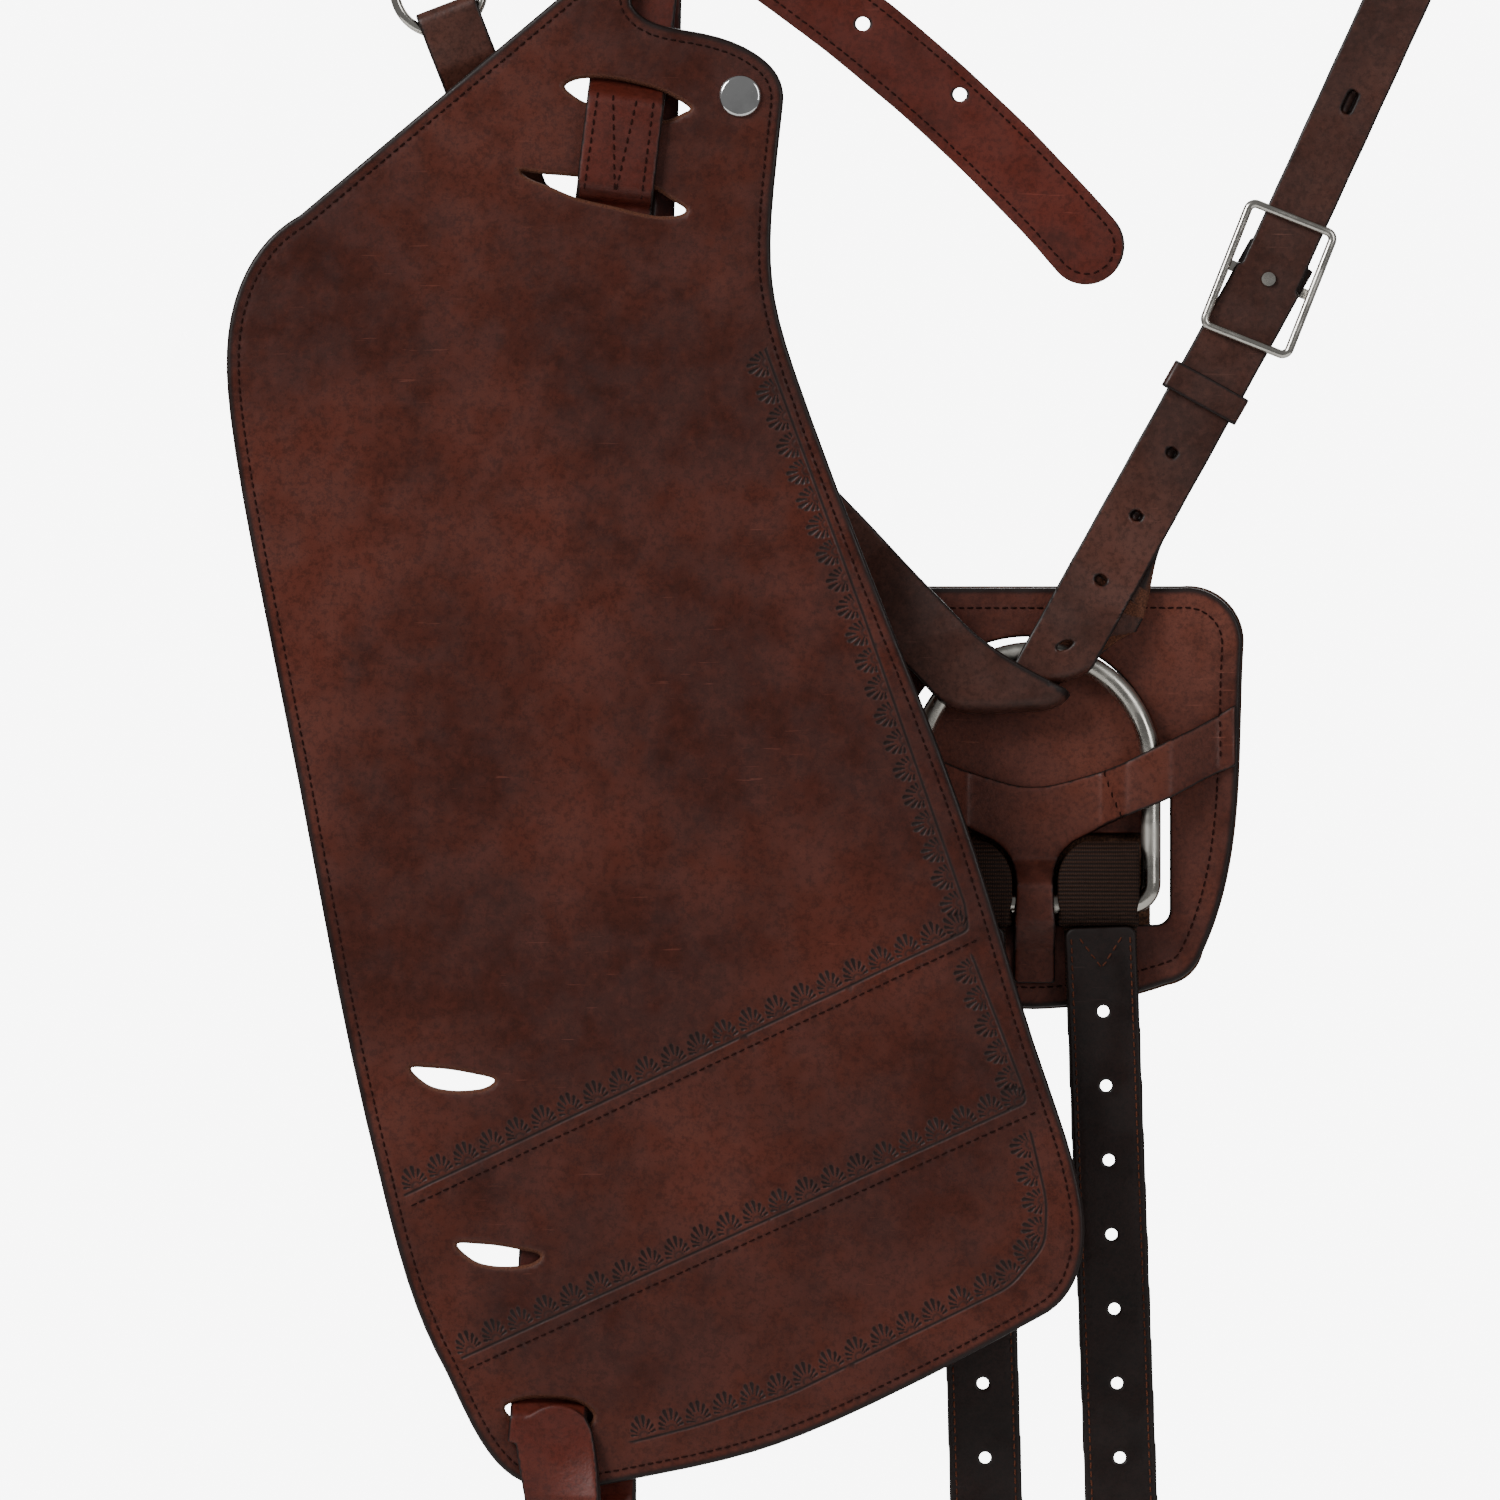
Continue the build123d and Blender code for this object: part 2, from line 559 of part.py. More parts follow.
for end in ("front", "rear"):
    with BuildPart() as billet_leather:
        billet_ply(end, BILLET_FRONT - BILLET_LEATHER, BILLET_LEATHER, BILLET_WIDTH, 0)
        top_edges = billet_leather.edges().filter_by(Axis.Y).sort_by(Axis.Z)[-2:]
        fillet(top_edges, radius=BILLET_CORNER)
    save(f"{end}_billet_leather", billet_leather)

    webbing_x = DEE[0] + BILLET_SIDE[end] * (WEBBING_INSIDE + WEBBING_WIDTH / 2)
    inner_half = DEE_WIRE + WEBBING_PLAY
    loop_top = DEE_BAR_Z + WEBBING_CROWN
    loop_foot = DEE_BAR_Z - inner_half - 0.1 - WEBBING_THICK
    outer = (loop_top - loop_foot, 2 * (inner_half + WEBBING_THICK))
    loop_plane = Plane(
        origin=(webbing_x, -DEE_DEPTH, (loop_top + loop_foot) / 2), x_dir=(0, 0, 1), z_dir=(1, 0, 0)
    )
    with BuildPart() as billet_webbing:
        with BuildSketch(loop_plane):
            RectangleRounded(*outer, outer[1] / 2 - 0.05)
            RectangleRounded(
                outer[0] - 2 * WEBBING_THICK, 2 * inner_half, inner_half - 0.05, mode=Mode.SUBTRACT
            )
        extrude(amount=WEBBING_WIDTH / 2, both=True)
        shoulder = [(DEE[0] + BILLET_SIDE[end] * x, z) for x, z in WEBBING_SHOULDER]
        with BuildSketch(face_plane(-20)) as corner_waste:
            with BuildLine():
                ThreePointArc(*shoulder)
                Polyline(shoulder[2], (shoulder[0][0], shoulder[2][1]), shoulder[0])
            make_face()
        extrude(corner_waste.sketch, amount=50, mode=Mode.SUBTRACT)
        billet_ply(
            end, BILLET_FRONT - BILLET_LEATHER - BILLET_WEBBING, BILLET_WEBBING,
            BILLET_WIDTH + 2 * WEBBING_SHOWS, -1.5,
        )
    save(f"{end}_billet_webbing", billet_webbing)


# -------------------------------------------------- stirrup leather, upper half
TAIL_DEPTH = 33.15         # in front of the buckle's lower bar
TAIL_START = (-48.5, -50.2)
TAIL_BEND = 40.0
TAIL_TURN = 54.2
TAIL_STRAIGHT = 57
TAIL_SWEEP = (700, -13.3)  # radius and angle of its long slow curve
HANGER_BACK = 22.9         # the back run where it leaves the buckle's chape
BEHIND_TOP_BAR = 19.6
TONGUE_SLOT = 5.4
LEATHER_HOLE_R = 3.0
LEATHER_HOLES = ((90.1, -133.5), (130.2, -162.8))
BAR_PLAY = 0.4
bar_turn = BAR_R + BAR_PLAY + LEATHER_THICK / 2

with BuildPart() as stirrup_leather_top:
    strap_run(
        run_plane((0, 0), (0, -1)),
        [(-SPLIT_Z - SPLIT_GAP, HANGER_BACK), (76, HANGER_BACK), (27, BAR_DEPTH - bar_turn),
         (-bar_turn, BAR_DEPTH - bar_turn), (-bar_turn, BAR_DEPTH + bar_turn),
         (9, BAR_DEPTH + bar_turn), (17.5, BEHIND_TOP_BAR), (27.5, BEHIND_TOP_BAR),
         (48, TAIL_DEPTH), (56, TAIL_DEPTH)],
        2 * [10] + 2 * [bar_turn * UNDER_FOLD] + 4 * [4], LEATHER_THICK, LEATHER_WIDTH,
    )
    with BuildSketch(face_plane(TAIL_DEPTH - LEATHER_THICK / 2)) as tail_sheet:
        with BuildLine():
            first = Line(*[(0, z) for z in TAIL_START])
            bend = JernArc(first @ 1, (0, -1), TAIL_BEND, TAIL_TURN)
            second = Line(bend @ 1, (bend @ 1) + (bend % 1) * TAIL_STRAIGHT)
            third = JernArc(second @ 1, bend % 1, *TAIL_SWEEP)
        trace(line_width=LEATHER_WIDTH)
        with Locations(third @ 1):
            Circle(LEATHER_WIDTH / 2)
        with Locations(*LEATHER_HOLES):
            Circle(LEATHER_HOLE_R, mode=Mode.SUBTRACT)
    extrude(tail_sheet.sketch, amount=LEATHER_THICK)
    with BuildSketch(face_plane(BEHIND_TOP_BAR - 2.6)) as slot:
        with Locations((0, -38.5)):
            Rectangle(TONGUE_SLOT, 15)
    extrude(slot.sketch, amount=22, mode=Mode.SUBTRACT)
save("stirrup_leather_top", stirrup_leather_top)


# ------------------------------------------- buckle of the stirrup leather
with BuildPart() as stirrup_buckle_frame:
    with BuildLine(face_plane(STIRRUP_BUCKLE_DEPTH)) as buckle_path:
        FilletPolyline(
            (STIRRUP_BUCKLE_HALF, STIRRUP_BUCKLE_TOP), (STIRRUP_BUCKLE_HALF, STIRRUP_BUCKLE_FOOT),
            (-STIRRUP_BUCKLE_HALF, STIRRUP_BUCKLE_FOOT), (-STIRRUP_BUCKLE_HALF, STIRRUP_BUCKLE_TOP),
            radius=STIRRUP_BUCKLE_CORNER, close=True,
        )
    with BuildSketch(Plane(origin=buckle_path.line @ 0, z_dir=buckle_path.line % 0)):
        Circle(STIRRUP_BUCKLE_WIRE)
    sweep()
save("stirrup_buckle_frame", stirrup_buckle_frame)

CHAPE_DEPTH = 28.0         # the middle of the chape where its plies are sewn together
foot_distance = -STIRRUP_BUCKLE_FOOT
eye_r = STIRRUP_BUCKLE_WIRE + STRAP_GAP


def chape_section(radius, end_from, end_to, half):
    """A teardrop round the buckle's lower bar, drawn in to a flat end."""
    with BuildSketch(run_plane((0, 0), (0, -1))) as section:
        with Locations((foot_distance, STIRRUP_BUCKLE_DEPTH)):
            Circle(radius)
        with Locations(((end_from + end_to) / 2, CHAPE_DEPTH)):
            Rectangle(end_to - end_from, 2 * half)
        make_hull()
    return section.sketch


chape_outside = chape_section(eye_r + PLY, foot_distance + 11, foot_distance + 12, PLY)
chape_inside = chape_section(eye_r, foot_distance + 10, foot_distance + 11, 0.2)
with BuildPart() as buckle_chape:
    extrude(chape_outside, amount=LEATHER_WIDTH / 2, both=True)
    strap_run(
        run_plane((0, 0), (0, -1)),
        [(foot_distance + 11.5, CHAPE_DEPTH), (-SPLIT_Z - SPLIT_GAP, CHAPE_DEPTH)],
        0, 2 * PLY, LEATHER_WIDTH,
    )
    extrude(chape_inside, amount=LEATHER_WIDTH / 2, both=True, mode=Mode.SUBTRACT)
    with BuildSketch(face_plane(STIRRUP_BUCKLE_DEPTH - 8)):
        with Locations((0, STIRRUP_BUCKLE_FOOT + 1)):
            Rectangle(TONGUE_SLOT, 13)
    extrude(amount=20, mode=Mode.SUBTRACT)
save("buckle_chape", buckle_chape)

TONGUE_WIDE = 3.6
TONGUE_THICK = 3.0
tongue_tip = (-STIRRUP_BUCKLE_TOP - 5, STIRRUP_BUCKLE_DEPTH + STIRRUP_BUCKLE_WIRE + 2.5)
with BuildPart() as stirrup_buckle_tongue:
    with BuildSketch(run_plane((0, 0), (0, -1))) as tongue_side:
        with Locations((foot_distance, STIRRUP_BUCKLE_DEPTH)):
            Circle(STIRRUP_BUCKLE_WIRE + 2.1)
        with BuildLine():
            Line((foot_distance - 3, STIRRUP_BUCKLE_DEPTH + 1.2), tongue_tip)
        trace(line_width=TONGUE_THICK)
        with Locations(tongue_tip):
            Circle(TONGUE_THICK / 2)
        with Locations((foot_distance, STIRRUP_BUCKLE_DEPTH)):
            Circle(STIRRUP_BUCKLE_WIRE + 0.3, mode=Mode.SUBTRACT)
    extrude(tongue_side.sketch, amount=TONGUE_WIDE / 2, both=True)
save("stirrup_buckle_tongue", stirrup_buckle_tongue)


# -------------------------------------------------- stirrup leather, lower loop
LOOP_TOP = (0, SPLIT_Z)
LOOP_SLOT = (-13, -207.9)          # where it goes back behind the fender
LOOP_OUT = (-39.7, -706.6)         # where it comes out again
LOOP_FOOT = (-18.6, -801.7)
SLOT_RISE = 5.8                    # distance along the strap taken to cross the fender
SECOND_RISE = 61.6                 # distances along the strap at which it comes forward and goes back
SECOND_FALL = 102.7
STRAP_BEND = 3
FOOT_OVERLAP = 14
FOOT_RETURN = 18

with BuildPart() as stirrup_leather_loop:
    strap_run(
        run_plane(LOOP_TOP, LOOP_SLOT),
        [(SPLIT_GAP, CHAPE_DEPTH), (45, BEHIND_FENDER), (SECOND_RISE, BEHIND_FENDER),
         (SECOND_RISE + SLOT_RISE, BEFORE_FENDER), (SECOND_FALL, BEFORE_FENDER),
         (SECOND_FALL + SLOT_RISE, BEHIND_FENDER), (125, BEHIND_FENDER)],
        STRAP_BEND, LEATHER_THICK, LEATHER_WIDTH,
    )
    behind = distance(LOOP_SLOT, LOOP_OUT)
    strap_run(
        run_plane(LOOP_SLOT, LOOP_OUT),
        [(-5, BEHIND_FENDER), (behind - 2, BEHIND_FENDER), (behind - 2 + SLOT_RISE, BEFORE_FENDER),
         (behind + FOOT_OVERLAP, BEFORE_FENDER)],
        STRAP_BEND, LEATHER_THICK, LEATHER_WIDTH,
    )
    below = distance(LOOP_OUT, LOOP_FOOT)
    strap_run(
        run_plane(LOOP_OUT, LOOP_FOOT),
        [(FOOT_OVERLAP, BEFORE_FENDER), (below, BEFORE_FENDER), (below, BACK_RUN),
         (below - FOOT_RETURN, BACK_RUN)],
        7.2, LEATHER_THICK, LEATHER_WIDTH,
    )
    back_foot = along(LOOP_OUT, LOOP_FOOT, below - FOOT_RETURN)
    back_length = distance(back_foot, LOOP_TOP)
    strap_run(
        run_plane(back_foot, LOOP_TOP),
        [(0, BACK_RUN), (back_length - 80, BACK_RUN), (back_length - 20, HANGER_BACK),
         (back_length - SPLIT_GAP, HANGER_BACK)],
        20, LEATHER_THICK, LEATHER_WIDTH,
    )
    for centre, depth in (
        (back_foot, BACK_RUN), (along(LOOP_OUT, LOOP_FOOT, FOOT_OVERLAP), BEFORE_FENDER),
    ):
        with BuildSketch(face_plane(depth - LEATHER_THICK / 2)):
            with Locations(centre):
                Circle(LEATHER_WIDTH / 2)
        extrude(amount=LEATHER_THICK)
save("stirrup_leather_loop", stirrup_leather_loop)


# ------------------------------------------------------------------ the fender
NECK = ((-5.4, -125.6), (-5.4, -105.4), (-11.2, -102.5), (-142.6, -212.8))
FRONT_EDGE = ((-142.6, -212.8), (-163.2, -233.1), (-171.5, -256.2), (-170.7, -301.7),
              (-160.7, -359.5), (-142.6, -450.4), (-121.9, -557.9), (-107.4, -619.9),
              (-96.3, -659.1), (-82.2, -690.9))
FOOT_EDGE = ((-82.2, -690.9), (-67.4, -720.3), (-55.0, -733.9), (-39.3, -739.7), (-14.5, -737.2),
             (47.5, -723.2), (93.0, -704.6), (130.2, -686.0), (163.2, -668.2))
REAR_EDGE = ((163.2, -668.2), (175.6, -657.0), (181.4, -638.4), (178.9, -611.6), (163.2, -562.0),
             (136.4, -475.2), (107.4, -396.7), (80.6, -328.5), (64.0, -283.1), (52.9, -241.8),
             (53.3, -202.5), (57.0, -168.2))
SHOULDER = ((57.0, -168.2), (53.7, -153.3), (43.4, -144.6), (19.4, -136.8), (-2.1, -129.8),
            (-5.4, -125.6))
# centre, width, height and tilt of each slot
SLOTS = (
    ((-7.2, -163.6), 50.0, 11.0, -7.5),
    ((-14.5, -204.1), 64.0, 11.0, -7.5),
    ((-39.7, -707.1), 38.0, 15.0, -6.0),
    ((-80.2, -569.9), 32.0, 7.9, -4.0),
    ((-61.2, -642.6), 32.0, 7.9, -4.0),
)
STUD = (39.3, -163.7)
STUD_CAP_R = 8.7
STUD_POST_R = 2.0
STUD_WASHER_R = 8


def fender_ply(back, thick):
    """One ply of the fender with its slots and the stud's hole."""
    with BuildSketch(face_plane(back)) as sheet:
        with BuildLine():
            Polyline(*NECK)
            Spline(*FRONT_EDGE)
            Spline(*FOOT_EDGE)
            Spline(*REAR_EDGE)
            Spline(*SHOULDER)
        make_face()
        for centre, wide, high, tilt in SLOTS:
            with Locations(Location((centre[0], centre[1], 0), (0, 0, tilt))):
                RectangleRounded(wide, high, high / 2 - 0.1, mode=Mode.SUBTRACT)
        with Locations(STUD):
            Circle(STUD_POST_R + STRAP_GAP, mode=Mode.SUBTRACT)
    extrude(sheet.sketch, amount=thick)


with BuildPart() as fender_skin:
    fender_ply(SKIN_BACK, SKIN_THICK)
save("fender_skin", fender_skin)

with BuildPart() as fender_lining:
    fender_ply(LINING_BACK, LINING_THICK)
save("fender_lining", fender_lining)


# -------------------------------------------------------------------- the stud
STUD_RISE = 2.0
WASHER_THICK = 1.3
washer_back = LINING_BACK - 0.1 - WASHER_THICK
with BuildPart() as stud_cap:
    with BuildSketch(face_plane(SKIN_FRONT)):
        with Locations(STUD):
            Circle(STUD_CAP_R)
    extrude(amount=STUD_RISE)
    fillet(stud_cap.faces().sort_by(Axis.Y)[0].edges(), radius=STUD_RISE * 0.8)
save("stud_cap", stud_cap)

with BuildPart() as stud_post:
    with BuildSketch(face_plane(washer_back)):
        with Locations(STUD):
            Circle(STUD_POST_R)
    extrude(amount=SKIN_FRONT - washer_back)
save("stud_post", stud_post)

with BuildPart() as stud_washer:
    with BuildSketch(face_plane(washer_back)):
        with Locations(STUD):
            Circle(STUD_WASHER_R)
            Circle(STUD_POST_R + 0.1, mode=Mode.SUBTRACT)
    extrude(amount=WASHER_THICK)
save("stud_washer", stud_washer)
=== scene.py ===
"""Looks for the saddle fender, its stirrup leather and the girth rigging behind it."""

import bpy
import numpy as np
from math import cos, hypot, pi, radians, sin, tau
from mathutils import Matrix, Vector
from mathutils.bvhtree import BVHTree
from mathutils.geometry import delaunay_2d_cdt
from mathutils.kdtree import KDTree


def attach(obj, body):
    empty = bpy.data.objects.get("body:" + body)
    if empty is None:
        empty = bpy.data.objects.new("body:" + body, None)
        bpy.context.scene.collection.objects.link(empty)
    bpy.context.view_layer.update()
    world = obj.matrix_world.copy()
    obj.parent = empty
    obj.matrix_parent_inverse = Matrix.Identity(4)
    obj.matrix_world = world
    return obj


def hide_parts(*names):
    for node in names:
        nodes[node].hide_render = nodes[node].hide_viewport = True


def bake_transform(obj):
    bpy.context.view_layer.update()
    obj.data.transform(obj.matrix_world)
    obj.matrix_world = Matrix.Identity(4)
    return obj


MM = 0.001
STEP = 1.2                 # spacing of the points round an outline
CLOSE = 0.52               # lattice where a piece is tooled
MIDDLING = 1.6             # lattice between the rim and the end of the band
EDGE_RINGS = (0.25, 0.6, 1.1, 1.9)   # rows of points inside every edge
RIM = 2.4                  # how far in the rings of points lie
BAND = 7.5                 # how far in the middling lattice goes
EDGE_WEAR = 3.8            # how far in an outer edge is dark
HOLE_WEAR = 1.4            # how far in a hole's edge is dark
CUT_REACH, CUT_SLOPE = 1.9, 0.7      # leather slopes down to a bare cut edge
SEED = 7

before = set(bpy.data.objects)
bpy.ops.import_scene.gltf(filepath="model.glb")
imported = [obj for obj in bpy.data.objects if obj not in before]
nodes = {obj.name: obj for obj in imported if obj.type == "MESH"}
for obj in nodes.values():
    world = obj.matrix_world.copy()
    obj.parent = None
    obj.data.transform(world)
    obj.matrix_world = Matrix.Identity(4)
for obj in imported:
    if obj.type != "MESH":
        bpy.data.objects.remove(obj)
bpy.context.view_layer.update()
rng = np.random.default_rng(SEED)


# ------------------------------------------------------------------ materials
class Shader:
    """A material with a few short ways to add nodes."""

    def __init__(self, name):
        self.material = bpy.data.materials.new(name)
        self.material.use_nodes = True
        self.tree = self.material.node_tree
        self.bsdf = self.tree.nodes["Principled BSDF"]
        self.where = self.node("ShaderNodeTexCoord").outputs["Object"]

    def node(self, kind, inputs=None, **settings):
        made = self.tree.nodes.new(kind)
        for key, value in settings.items():
            setattr(made, key, value)
        for key, value in (inputs or {}).items():
            if isinstance(value, bpy.types.NodeSocket):
                self.tree.links.new(value, made.inputs[key])
            else:
                made.inputs[key].default_value = value
        return made

    def noise(self, scale, detail=4.0, rough=0.55, stretch=None):
        where = self.where
        if stretch:
            where = self.node(
                "ShaderNodeMapping", {"Vector": where, "Rotation": stretch[1], "Scale": stretch[0]}
            ).outputs[0]
        return self.node(
            "ShaderNodeTexNoise",
            {"Vector": where, "Scale": scale, "Detail": detail, "Roughness": rough},
        ).outputs[0]

    def ramp(self, value, low, high, to_low=0.0, to_high=1.0):
        return self.node(
            "ShaderNodeMapRange",
            {0: value, 1: low, 2: high, 3: to_low, 4: to_high},
            interpolation_type="SMOOTHSTEP",
        ).outputs[0]

    def mix(self, factor, a, b):
        return self.node(
            "ShaderNodeMix", {0: factor, 6: a, 7: b}, data_type="RGBA"
        ).outputs[2]

    def maths(self, what, a, b):
        return self.node("ShaderNodeMath", {0: a, 1: b}, operation=what).outputs[0]

    def mark(self, name):
        return self.node("ShaderNodeAttribute", attribute_name=name).outputs["Fac"]

    def bump(self, height, distance, strength=1.0, before=None):
        inputs = {"Height": height, "Distance": distance, "Strength": strength}
        if before:
            inputs["Normal"] = before
        return self.node("ShaderNodeBump", inputs).outputs[0]

    def set(self, **inputs):
        for key, value in inputs.items():
            socket = self.bsdf.inputs[key.replace("_", " ")]
            if isinstance(value, bpy.types.NodeSocket):
                self.tree.links.new(value, socket)
            else:
                socket.default_value = value
        return self.material


def rgb(r, g, b):
    """An sRGB colour from 0 to 255, made linear."""
    return tuple(((c / 255 + 0.055) / 1.055) ** 2.4 for c in (r, g, b)) + (1.0,)


SUEDE = rgb(104, 62, 44)
BURNISH = rgb(24, 15, 13)


def leather(name, dark, light, shine=0.42, grain=1.0, suede=SUEDE, edge=BURNISH):
    s = Shader(name)
    tone = s.noise(9, 5)
    fine = s.noise(260, 4)
    colour = s.mix(s.ramp(tone, 0.36, 0.66), dark, light)
    colour = s.mix(s.ramp(fine, 0.4, 0.75, 0.0, 0.35), colour, light)
    shade = tuple(c * 0.55 for c in dark[:3]) + (1.0,)
    blotch = s.ramp(s.noise(24, 9, 0.72), 0.5, 0.72, 0.0, 0.75)
    colour = s.mix(blotch, colour, shade)
    colour = s.mix(s.ramp(s.noise(430, 6, 0.75), 0.45, 0.63, 0.0, 0.55), colour, shade)
    streak = s.noise(1.0, 3, 0.6, ((40, 40, 700), (0.3, 0.9, 0.2)))
    scuff = s.maths("MULTIPLY", s.ramp(streak, 0.66, 0.72), s.ramp(s.noise(14, 2), 0.5, 0.62))
    pale = tuple(min(1.0, c * 1.9 + 0.01) for c in light[:3]) + (1.0,)
    colour = s.mix(s.ramp(scuff, 0, 1, 0, 0.35), colour, pale)
    colour = s.mix(s.ramp(s.mark("stamp"), 0.05, 0.65, 0.0, 0.9), colour, edge)
    colour = s.mix(s.ramp(s.mark("edge"), 0.15, 0.7, 0.0, 0.96), colour, edge)
    fuzz = s.noise(1400, 3)
    raw = s.mix(s.ramp(fuzz, 0.3, 0.7), suede, tuple(c * 0.45 for c in suede[:3]) + (1.0,))
    colour = s.mix(s.mark("raw"), colour, raw)
    pores = s.node("ShaderNodeTexVoronoi", {"Vector": s.where, "Scale": 820.0}).outputs[0]
    skin = s.bump(pores, 0.00012 * grain, 0.35)
    skin = s.bump(s.noise(420, 5, 0.65), 0.0002 * grain, 0.4, skin)
    skin = s.bump(s.noise(45, 3), 0.0012, 0.18, skin)
    skin = s.bump(s.maths("MULTIPLY", fuzz, s.mark("raw")), 0.0006, 0.8, skin)
    rough = s.ramp(s.noise(60, 5), 0.3, 0.7, shine - 0.08, shine + 0.14)
    rough = s.maths("ADD", rough, s.ramp(s.mark("raw"), 0, 1, 0, 0.4))
    rough = s.maths("ADD", rough, s.ramp(s.mark("stamp"), 0, 1, 0, 0.35))
    return s.set(Base_Color=colour, Roughness=rough, Normal=skin, Specular_IOR_Level=0.26)


def suede(name, dark, light):
    s = Shader(name)
    colour = s.mix(s.ramp(s.noise(900, 4), 0.35, 0.7), dark, light)
    colour = s.mix(s.ramp(s.noise(18, 4), 0.4, 0.7, 0, 0.5), colour, dark)
    nap = s.bump(s.noise(1600, 4, 0.7), 0.0007, 0.8)
    nap = s.bump(s.noise(140, 4), 0.0008, 0.4, nap)
    return s.set(Base_Color=colour, Roughness=0.95, Normal=nap, Specular_IOR_Level=0.2)


def nickel(name, tint, low=0.12, high=0.34):
    s = Shader(name)
    dull = s.ramp(s.noise(70, 5), 0.35, 0.7)
    dark = tuple(c * 0.62 for c in tint[:3]) + (1.0,)
    colour = s.mix(s.ramp(s.noise(45, 6, 0.7), 0.42, 0.75, 0, 0.7), tint, dark)
    scratch = s.noise(1.0, 2, 0.5, ((300, 300, 2600), (0.4, 0.2, 0.5)))
    relief = s.bump(scratch, 0.00004, 0.35)
    relief = s.bump(s.noise(160, 3), 0.0003, 0.12, relief)
    rough = s.node("ShaderNodeMapRange", {0: dull, 3: low, 4: high}).outputs[0]
    return s.set(Base_Color=colour, Metallic=1.0, Roughness=rough, Normal=relief)


def thread(name, dark, light):
    s = Shader(name)
    twist = s.node(
        "ShaderNodeTexWave", {"Vector": s.where, "Scale": 900.0, "Distortion": 1.5},
        bands_direction="DIAGONAL",
    ).outputs[1]
    # darker where the twist sinks: painted shade in the grooves between the plies, on the same
    # twist that gives the bump
    colour = s.mix(twist, dark, light)
    colour = s.mix(s.ramp(s.noise(30, 3), 0.4, 0.7, 0, 0.6), colour, dark)
    return s.set(
        Base_Color=colour, Roughness=0.8, Normal=s.bump(twist, 0.0002, 0.6), Specular_IOR_Level=0.12
    )


def webbing(name, dark, light):
    s = Shader(name)
    weave = s.node(
        "ShaderNodeTexWave", {"Vector": s.where, "Scale": 190.0, "Distortion": 0.4},
        bands_direction="Z",
    ).outputs[1]
    warp = s.node(
        "ShaderNodeTexWave", {"Vector": s.where, "Scale": 330.0, "Distortion": 0.6},
        bands_direction="X",
    ).outputs[1]
    both = s.maths("MULTIPLY", weave, s.ramp(warp, 0, 1, 0.5, 1.0))
    # darker where the weave sinks: painted shade in the grooves between the ribs, on the same weave
    # that gives the bump
    colour = s.mix(both, dark, light)
    relief = s.bump(both, 0.0005, 0.8)
    relief = s.bump(s.noise(1500, 3), 0.0002, 0.4, relief)
    return s.set(Base_Color=colour, Roughness=0.72, Normal=relief, Specular_IOR_Level=0.15)


LOOKS = {
    "fender": leather("fender_leather", rgb(56, 24, 17), rgb(82, 38, 28)),
    "plate": leather("plate_leather", rgb(68, 32, 24), rgb(98, 51, 39), 0.45),
    "rigging": leather("rigging_leather", rgb(54, 31, 25), rgb(86, 52, 43), 0.42),
    "billet": leather("billet_leather", rgb(18, 9, 7), rgb(32, 17, 14), 0.44),
    "strap": leather("stirrup_strap_leather", rgb(68, 25, 17), rgb(90, 36, 26), 0.46),
    "lining": suede("lining_suede", rgb(74, 48, 36), rgb(112, 76, 56)),
    "backing": suede("backing_suede", rgb(52, 35, 28), rgb(98, 66, 48)),
    # the webbing's darker colour is the painted shade in its grooves
    "webbing": webbing("billet_webbing", rgb(18, 10, 7), rgb(58, 37, 27)),
    "nickel": nickel("ring_nickel", rgb(206, 202, 194)),
    "dee": nickel("dee_nickel", rgb(190, 186, 178), 0.16, 0.42),
    "steel": nickel("fitting_steel", rgb(150, 148, 144), 0.28, 0.5),
    "stud": nickel("stud_chrome", rgb(226, 226, 226), 0.06, 0.16),
    # each thread's darker colour is both its painted shade between the plies and its random darker
    # tone
    "thread": thread("brown_thread", rgb(20, 8, 6), rgb(52, 22, 16)),
    "pale_thread": thread("light_thread", rgb(52, 26, 18), rgb(118, 68, 48)),
}


# --------------------------------------------------------------------- meshes
def make_mesh(name, points, faces, marks=None):
    """A mesh object from points in millimetres and an array of equal faces."""
    mesh = bpy.data.meshes.new(name)
    faces = np.asarray(faces, np.int32)
    count, corners = faces.shape
    mesh.vertices.add(len(points))
    mesh.vertices.foreach_set("co", (np.asarray(points) * MM).astype(np.float32).ravel())
    mesh.loops.add(count * corners)
    mesh.loops.foreach_set("vertex_index", faces.ravel())
    mesh.polygons.add(count)
    mesh.polygons.foreach_set("loop_start", np.arange(0, count * corners, corners, dtype=np.int32))
    mesh.update(calc_edges=True)
    mesh.validate()
    set_marks(mesh, marks or {})
    mesh.shade_smooth()
    made = bpy.data.objects.new(name, mesh)
    bpy.context.scene.collection.objects.link(made)
    return made


def set_marks(mesh, marks):
    for name, values in marks.items():
        attribute = mesh.attributes.new(name, "FLOAT", "POINT")
        attribute.data.foreach_set("value", np.asarray(values, np.float32))


def coords(mesh):
    found = np.empty(len(mesh.vertices) * 3, np.float32)
    mesh.vertices.foreach_get("co", found)
    return found.reshape(-1, 3).astype(float) / MM


def move_points(mesh, at):
    mesh.vertices.foreach_set("co", (at * MM).astype(np.float32).ravel())


def point_tree(points):
    """A tree of points for quick nearest distances."""
    tree = KDTree(len(points))
    for i, p in enumerate(points):
        tree.insert(p if len(p) == 3 else (p[0], p[1], 0), i)
    tree.balance()
    return tree


def finish_piece(piece, look, body, slot, *replaced):
    piece.data.materials.clear()
    piece.data.materials.append(LOOKS[look])
    if body:
        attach(piece, body)
    if replaced:
        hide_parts(*replaced)
    return piece


